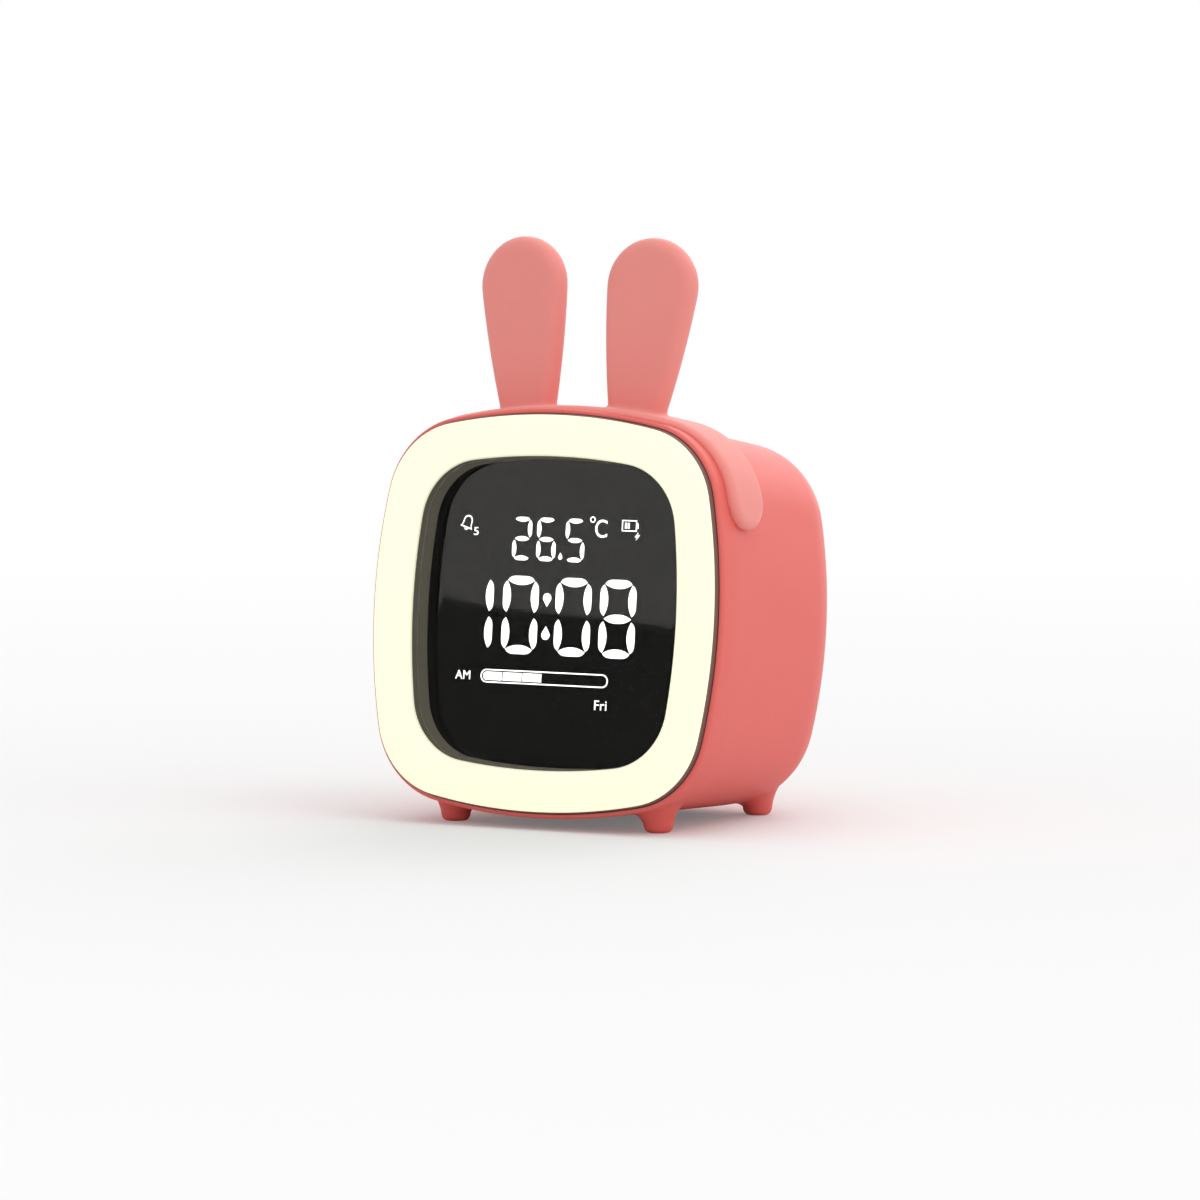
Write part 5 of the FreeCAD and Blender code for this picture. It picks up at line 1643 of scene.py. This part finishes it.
@dataclass(frozen=True)
class Key:
    """One silicone key with its printed mark."""

    mark: Mark
    x: float
    cover: RearCover
    proud: float = 1.0
    edge: float = 0.6
    flange: float = 0.7
    flange_back: float = 59.7
    flange_thick: float = 0.8
    dish: float = 0.12
    dish_rows: tuple[float, float] = (0.6, 0.25)
    edge_steps: int = 5
    film: float = 0.9
    overlap: float = 0.001

    def cap(self) -> bpy.types.Mesh:
        """The key: inner flange, straight sides, a rounded edge and a slightly dished top.

        Returns:
            The cap's mesh.
        """
        width, height, z = self.cover.key_width, self.cover.key_height, self.cover.key_z
        top = self.cover.housing.back + self.proud
        grow = 2 * self.flange
        loops = [pill_loop(width + grow, height + grow, self.x, y, z)
                 for y in (self.flange_back - self.flange_thick, self.flange_back)]
        loops.append(pill_loop(width, height, self.x, self.flange_back, z))
        for t in quarter_turn(self.edge_steps):
            draw, y = 2 * self.edge * (1 - math.cos(t)), top - self.edge * (1 - math.sin(t))
            loops.append(pill_loop(width - draw, height - draw, self.x, y, z))
        for share in self.dish_rows:
            loops.append(pill_loop((width - 2 * self.edge) * share, (height - 2 * self.edge) * share, self.x,
                                   top - self.dish * (1 - share), z))
        return lofted("key", loops)

    def printed_mark(self) -> bpy.types.Mesh:
        """The printed mark, a thin film on the key's top: a clock face, a minus, a plus or a lit lamp.

        Returns:
            The mark's mesh.
        """
        skin, z = Skin(), self.cover.key_z
        y0 = self.cover.housing.back + self.proud - self.dish
        y1 = y0 + self.dish * self.film
        bar = box(-1.1, 1.1, -0.18, 0.18)
        if self.mark in (Mark.DOWN, Mark.UP):
            skin.plate([(self.x + a, z + b) for a, b in bar], y0, y1)
        if self.mark is Mark.UP:
            skin.plate([(self.x + b, z + a) for a, b in bar], y0 - self.overlap, y1 + self.overlap)
        if self.mark is Mark.SET:
            outer, inner = 1.1, 0.78
            rows = ((outer, y0), (outer, y1), (inner, y1), (inner, y0))
            skin.loft([round_loop(r, self.x, y, z) for r, y in rows], ring=True)
            skin.plate(box(self.x - 0.13, self.x + 0.13, z - 0.1, z + 0.62), y0, y1)
        if self.mark is Mark.LAMP:
            skin.loft([round_loop(0.5, self.x, y, z) for y in (y0, y1)])
            for angle in full_turn(8):
                skin.plate(turned(box(0.75, 1.2, -0.1, 0.1), angle, self.x, z), y0, y1)
        return skin.mesh("key_mark")

    def build(self, bench: Bench) -> None:
        """Make the key and its mark and set them on the key's own body.

        Args:
            bench: sets them in place.
        """
        name = self.mark.value
        bench.place(f"{name}_key_cap", self.cap(), KEY_SILICONE, "button_silicone", f"{name}_key",
                    [f"{name}_button"])
        bench.place(f"{name}_key_mark", self.printed_mark(), WHITE_INK, "stem_white", f"{name}_key")


@dataclass(frozen=True)
class InnerWorks:
    """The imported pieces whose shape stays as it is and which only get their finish."""

    pieces: dict[Finish, tuple[str, ...]]

    def build(self) -> None:
        """Dress every kept node."""
        for finish, names in self.pieces.items():
            for name in names:
                materials = frame["nodes"][name].data.materials
                materials.clear()
                materials.append(finish.material())
                LOG.info("%s: dressed in %s", name, finish.name)


@dataclass(frozen=True)
class Studio:
    """Plain pale floor, white surroundings, soft lamps and the camera."""

    stance: Stance
    azimuth: float = 30.314
    elevation: float = 4.197
    distance: float = 1414.18
    aim_height: float = 44.668
    aim_right: float = 11.379
    lens: float = 218.4
    sensor: float = 36.0
    sight: float = 20.0
    ambient: float = 0.45
    floor_half: float = 30.0
    fade: tuple[float, float, float] = (0.12, 0.75, 0.15)
    card_distance: float = 1200.0
    mirrored_edge: tuple[tuple[float, float], ...] = (
        (-48.0, 30.0), (-34.0, 14.0), (-29.3, 8.4), (-27.5, 5.7), (-24.8, 3.4), (-20.8, 1.6), (-12.7, 0.7),
        (1.0, -0.35), (14.5, -1.2), (26.9, -2.1), (60.0, -4.5))
    mirrored_low: float = -48.0
    mirror_y: float = 5.5
    lamps: tuple[tuple[str, tuple[float, float, float], float, float], ...] = (
        ("overhead", (0.15, 0.1, 1.0), 0.45, 90), ("key", (0.9, -0.15, 0.55), 0.20, 60),
        ("rear", (-0.1, 0.9, 0.5), 0.25, 60), ("fill", (-0.3, -1.0, 0.35), 0.12, 80))

    def axes(self) -> tuple[Vector, Vector, Vector]:
        """The camera's right, the way back to it and its place, in metres.

        Returns:
            Right and back as unit vectors, and the place.
        """
        az, el = math.radians(self.azimuth), math.radians(self.elevation)
        back = Vector((math.sin(az) * math.cos(el), -math.cos(az) * math.cos(el), math.sin(el)))
        right = Vector((math.cos(az), math.sin(az), 0))
        target = Vector((0, self.stance.shift(), self.aim_height)) + right * self.aim_right
        return right, back, (target + back * self.distance) * MM

    def camera(self) -> None:
        """Set the camera where the photographer stood."""
        right, back, place = self.axes()
        data = bpy.data.cameras.new("camera")
        data.lens = self.lens
        data.sensor_width = self.sensor
        data.clip_end = self.sight
        obj = linked("camera", data)
        turn = Matrix((right, back.cross(right), back)).transposed().to_4x4()
        obj.matrix_world = Matrix.Translation(place) @ turn
        bpy.context.scene.camera = obj

    def card(self) -> None:
        """A dark card that only mirrors show, hung where the window's lower half reflects it."""
        place = self.axes()[2]
        stance = self.stance.metres()
        normal = (stance.to_3x3() @ Vector((0, -1, 0))).normalized()

        def mirrored(x: float, z: float) -> Vector:
            """Where the camera's ray goes that the glass mirrors at a place."""
            spot = stance @ Vector((x, self.mirror_y, z))
            ray = (spot - place).normalized()
            return spot + (ray - 2 * ray.dot(normal) * normal) * self.card_distance * MM

        top = [mirrored(x, z) for x, z in self.mirrored_edge]
        low = [mirrored(x, self.mirrored_low) for x, _ in reversed(self.mirrored_edge)]
        mesh = bpy.data.meshes.new("dark_card")
        mesh.from_pydata(top + low, [], [tuple(range(len(top + low)))])
        obj = linked("dark_card", mesh)
        mesh.materials.append(Finish("dark_card_paper", "#858585", "#888888", 0.9, relief=0.0).material())
        obj.visible_camera = False
        obj.visible_diffuse = False
        obj.visible_shadow = False

    def lamp(self, name: str, way: tuple[float, float, float], level: float, spread: float) -> None:
        """Add a far, even light.

        Args:
            name: its name.
            way: the direction that it comes from.
            level: share of a white surface's full brightness, where the surface faces it.
            spread: how wide its source looks, in degrees: wider gives softer shadows.
        """
        data = bpy.data.lights.new(name, "SUN")
        data.energy = level * math.pi
        data.angle = math.radians(spread)
        obj = linked(name, data)
        obj.rotation_euler = Vector(way).to_track_quat("Z", "Y").to_euler()

    def floor(self) -> None:
        """A wide pale sheet under the clock that fades to white with distance."""
        half = self.floor_half
        mesh = bpy.data.meshes.new("floor")
        mesh.from_pydata([(x, y, 0) for x, y in box(-half, half, -half, half)], [], [(0, 1, 2, 3)])
        obj = linked("floor", mesh)
        mesh.materials.append(self.paper())

    def paper(self) -> bpy.types.Material:
        """White backdrop paper: the camera sees it burn out to white away from the clock.

        Returns:
            The floor's material.
        """
        made = Finish("white_backdrop_paper", "#E9E9E9", "#E7E7E7", 0.9, relief=0.0, cloud=200).material()
        tree = made.node_tree
        shader = next(n for n in tree.nodes if n.type == "BSDF_PRINCIPLED")
        shader.inputs["Specular IOR Level"].default_value = 0.0
        output = next(n for n in tree.nodes if n.type == "OUTPUT_MATERIAL")
        place = put(tree, "ShaderNodeTexCoord").outputs["Object"]
        far = put(tree, "ShaderNodeVectorMath", {0: place}, operation="LENGTH").outputs["Value"]
        near_edge, far_edge, least = self.fade
        fade = put(tree, "ShaderNodeMapRange", {"Value": far, "From Min": near_edge, "From Max": far_edge,
                                                "To Min": least, "To Max": 1.0}).outputs["Result"]
        seen = put(tree, "ShaderNodeLightPath").outputs["Is Camera Ray"]
        share = put(tree, "ShaderNodeMath", {0: fade, 1: seen}, operation="MULTIPLY").outputs[0]
        white = put(tree, "ShaderNodeEmission", {"Color": (1, 1, 1, 1), "Strength": 1.0}).outputs["Emission"]
        mixed = put(tree, "ShaderNodeMixShader", {0: share, 1: shader.outputs["BSDF"], 2: white})
        tree.links.new(mixed.outputs["Shader"], output.inputs["Surface"])
        return made

    def world(self) -> None:
        """White surroundings for what is seen and mirrored, and a softer level for the light they give."""
        world = bpy.data.worlds.new("white_room")
        bpy.context.scene.world = world
        world.use_nodes = True
        tree = world.node_tree
        tree.nodes.clear()
        rays = put(tree, "ShaderNodeLightPath")
        seen = rays.outputs["Is Camera Ray"]
        for kind in ("Is Glossy Ray", "Is Transmission Ray"):
            most = put(tree, "ShaderNodeMath", {0: seen, 1: rays.outputs[kind]}, operation="MAXIMUM")
            seen = most.outputs[0]
        level = put(tree, "ShaderNodeMapRange", {"Value": seen, "To Min": self.ambient, "To Max": 1.0})
        glow = put(tree, "ShaderNodeBackground", {"Color": (1, 1, 1, 1), "Strength": level.outputs["Result"]})
        put(tree, "ShaderNodeOutputWorld", {"Surface": glow.outputs["Background"]})

    def build(self) -> None:
        """Set up floor, light and camera."""
        self.floor()
        self.card()
        self.world()
        for name, way, level, spread in self.lamps:
            self.lamp(name, way, level, spread)
        self.camera()
        bpy.context.scene.view_settings.view_transform = "Standard"


def main() -> None:
    """Build every sub-assembly in order."""
    logging.basicConfig(level=logging.INFO, format="%(name)s %(message)s")
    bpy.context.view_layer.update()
    stance = Stance()
    bench = Bench(stance)
    housing = Housing()
    dial = Dial()
    cover = RearCover(housing)
    housing.build(bench, dial.ring.grown(0.15))
    cover.build(bench)
    dial.build(bench)
    ReadOut().build(bench)
    Headband(housing).build(bench)
    for mark, x in zip(Mark, cover.key_places()):
        Key(mark, x, cover).build(bench)
    InnerWorks(INNER_PIECES).build()
    Studio(stance).build()
    LOG.info("%d new pieces", len(bench.made))


if __name__ == "__main__":
    main()
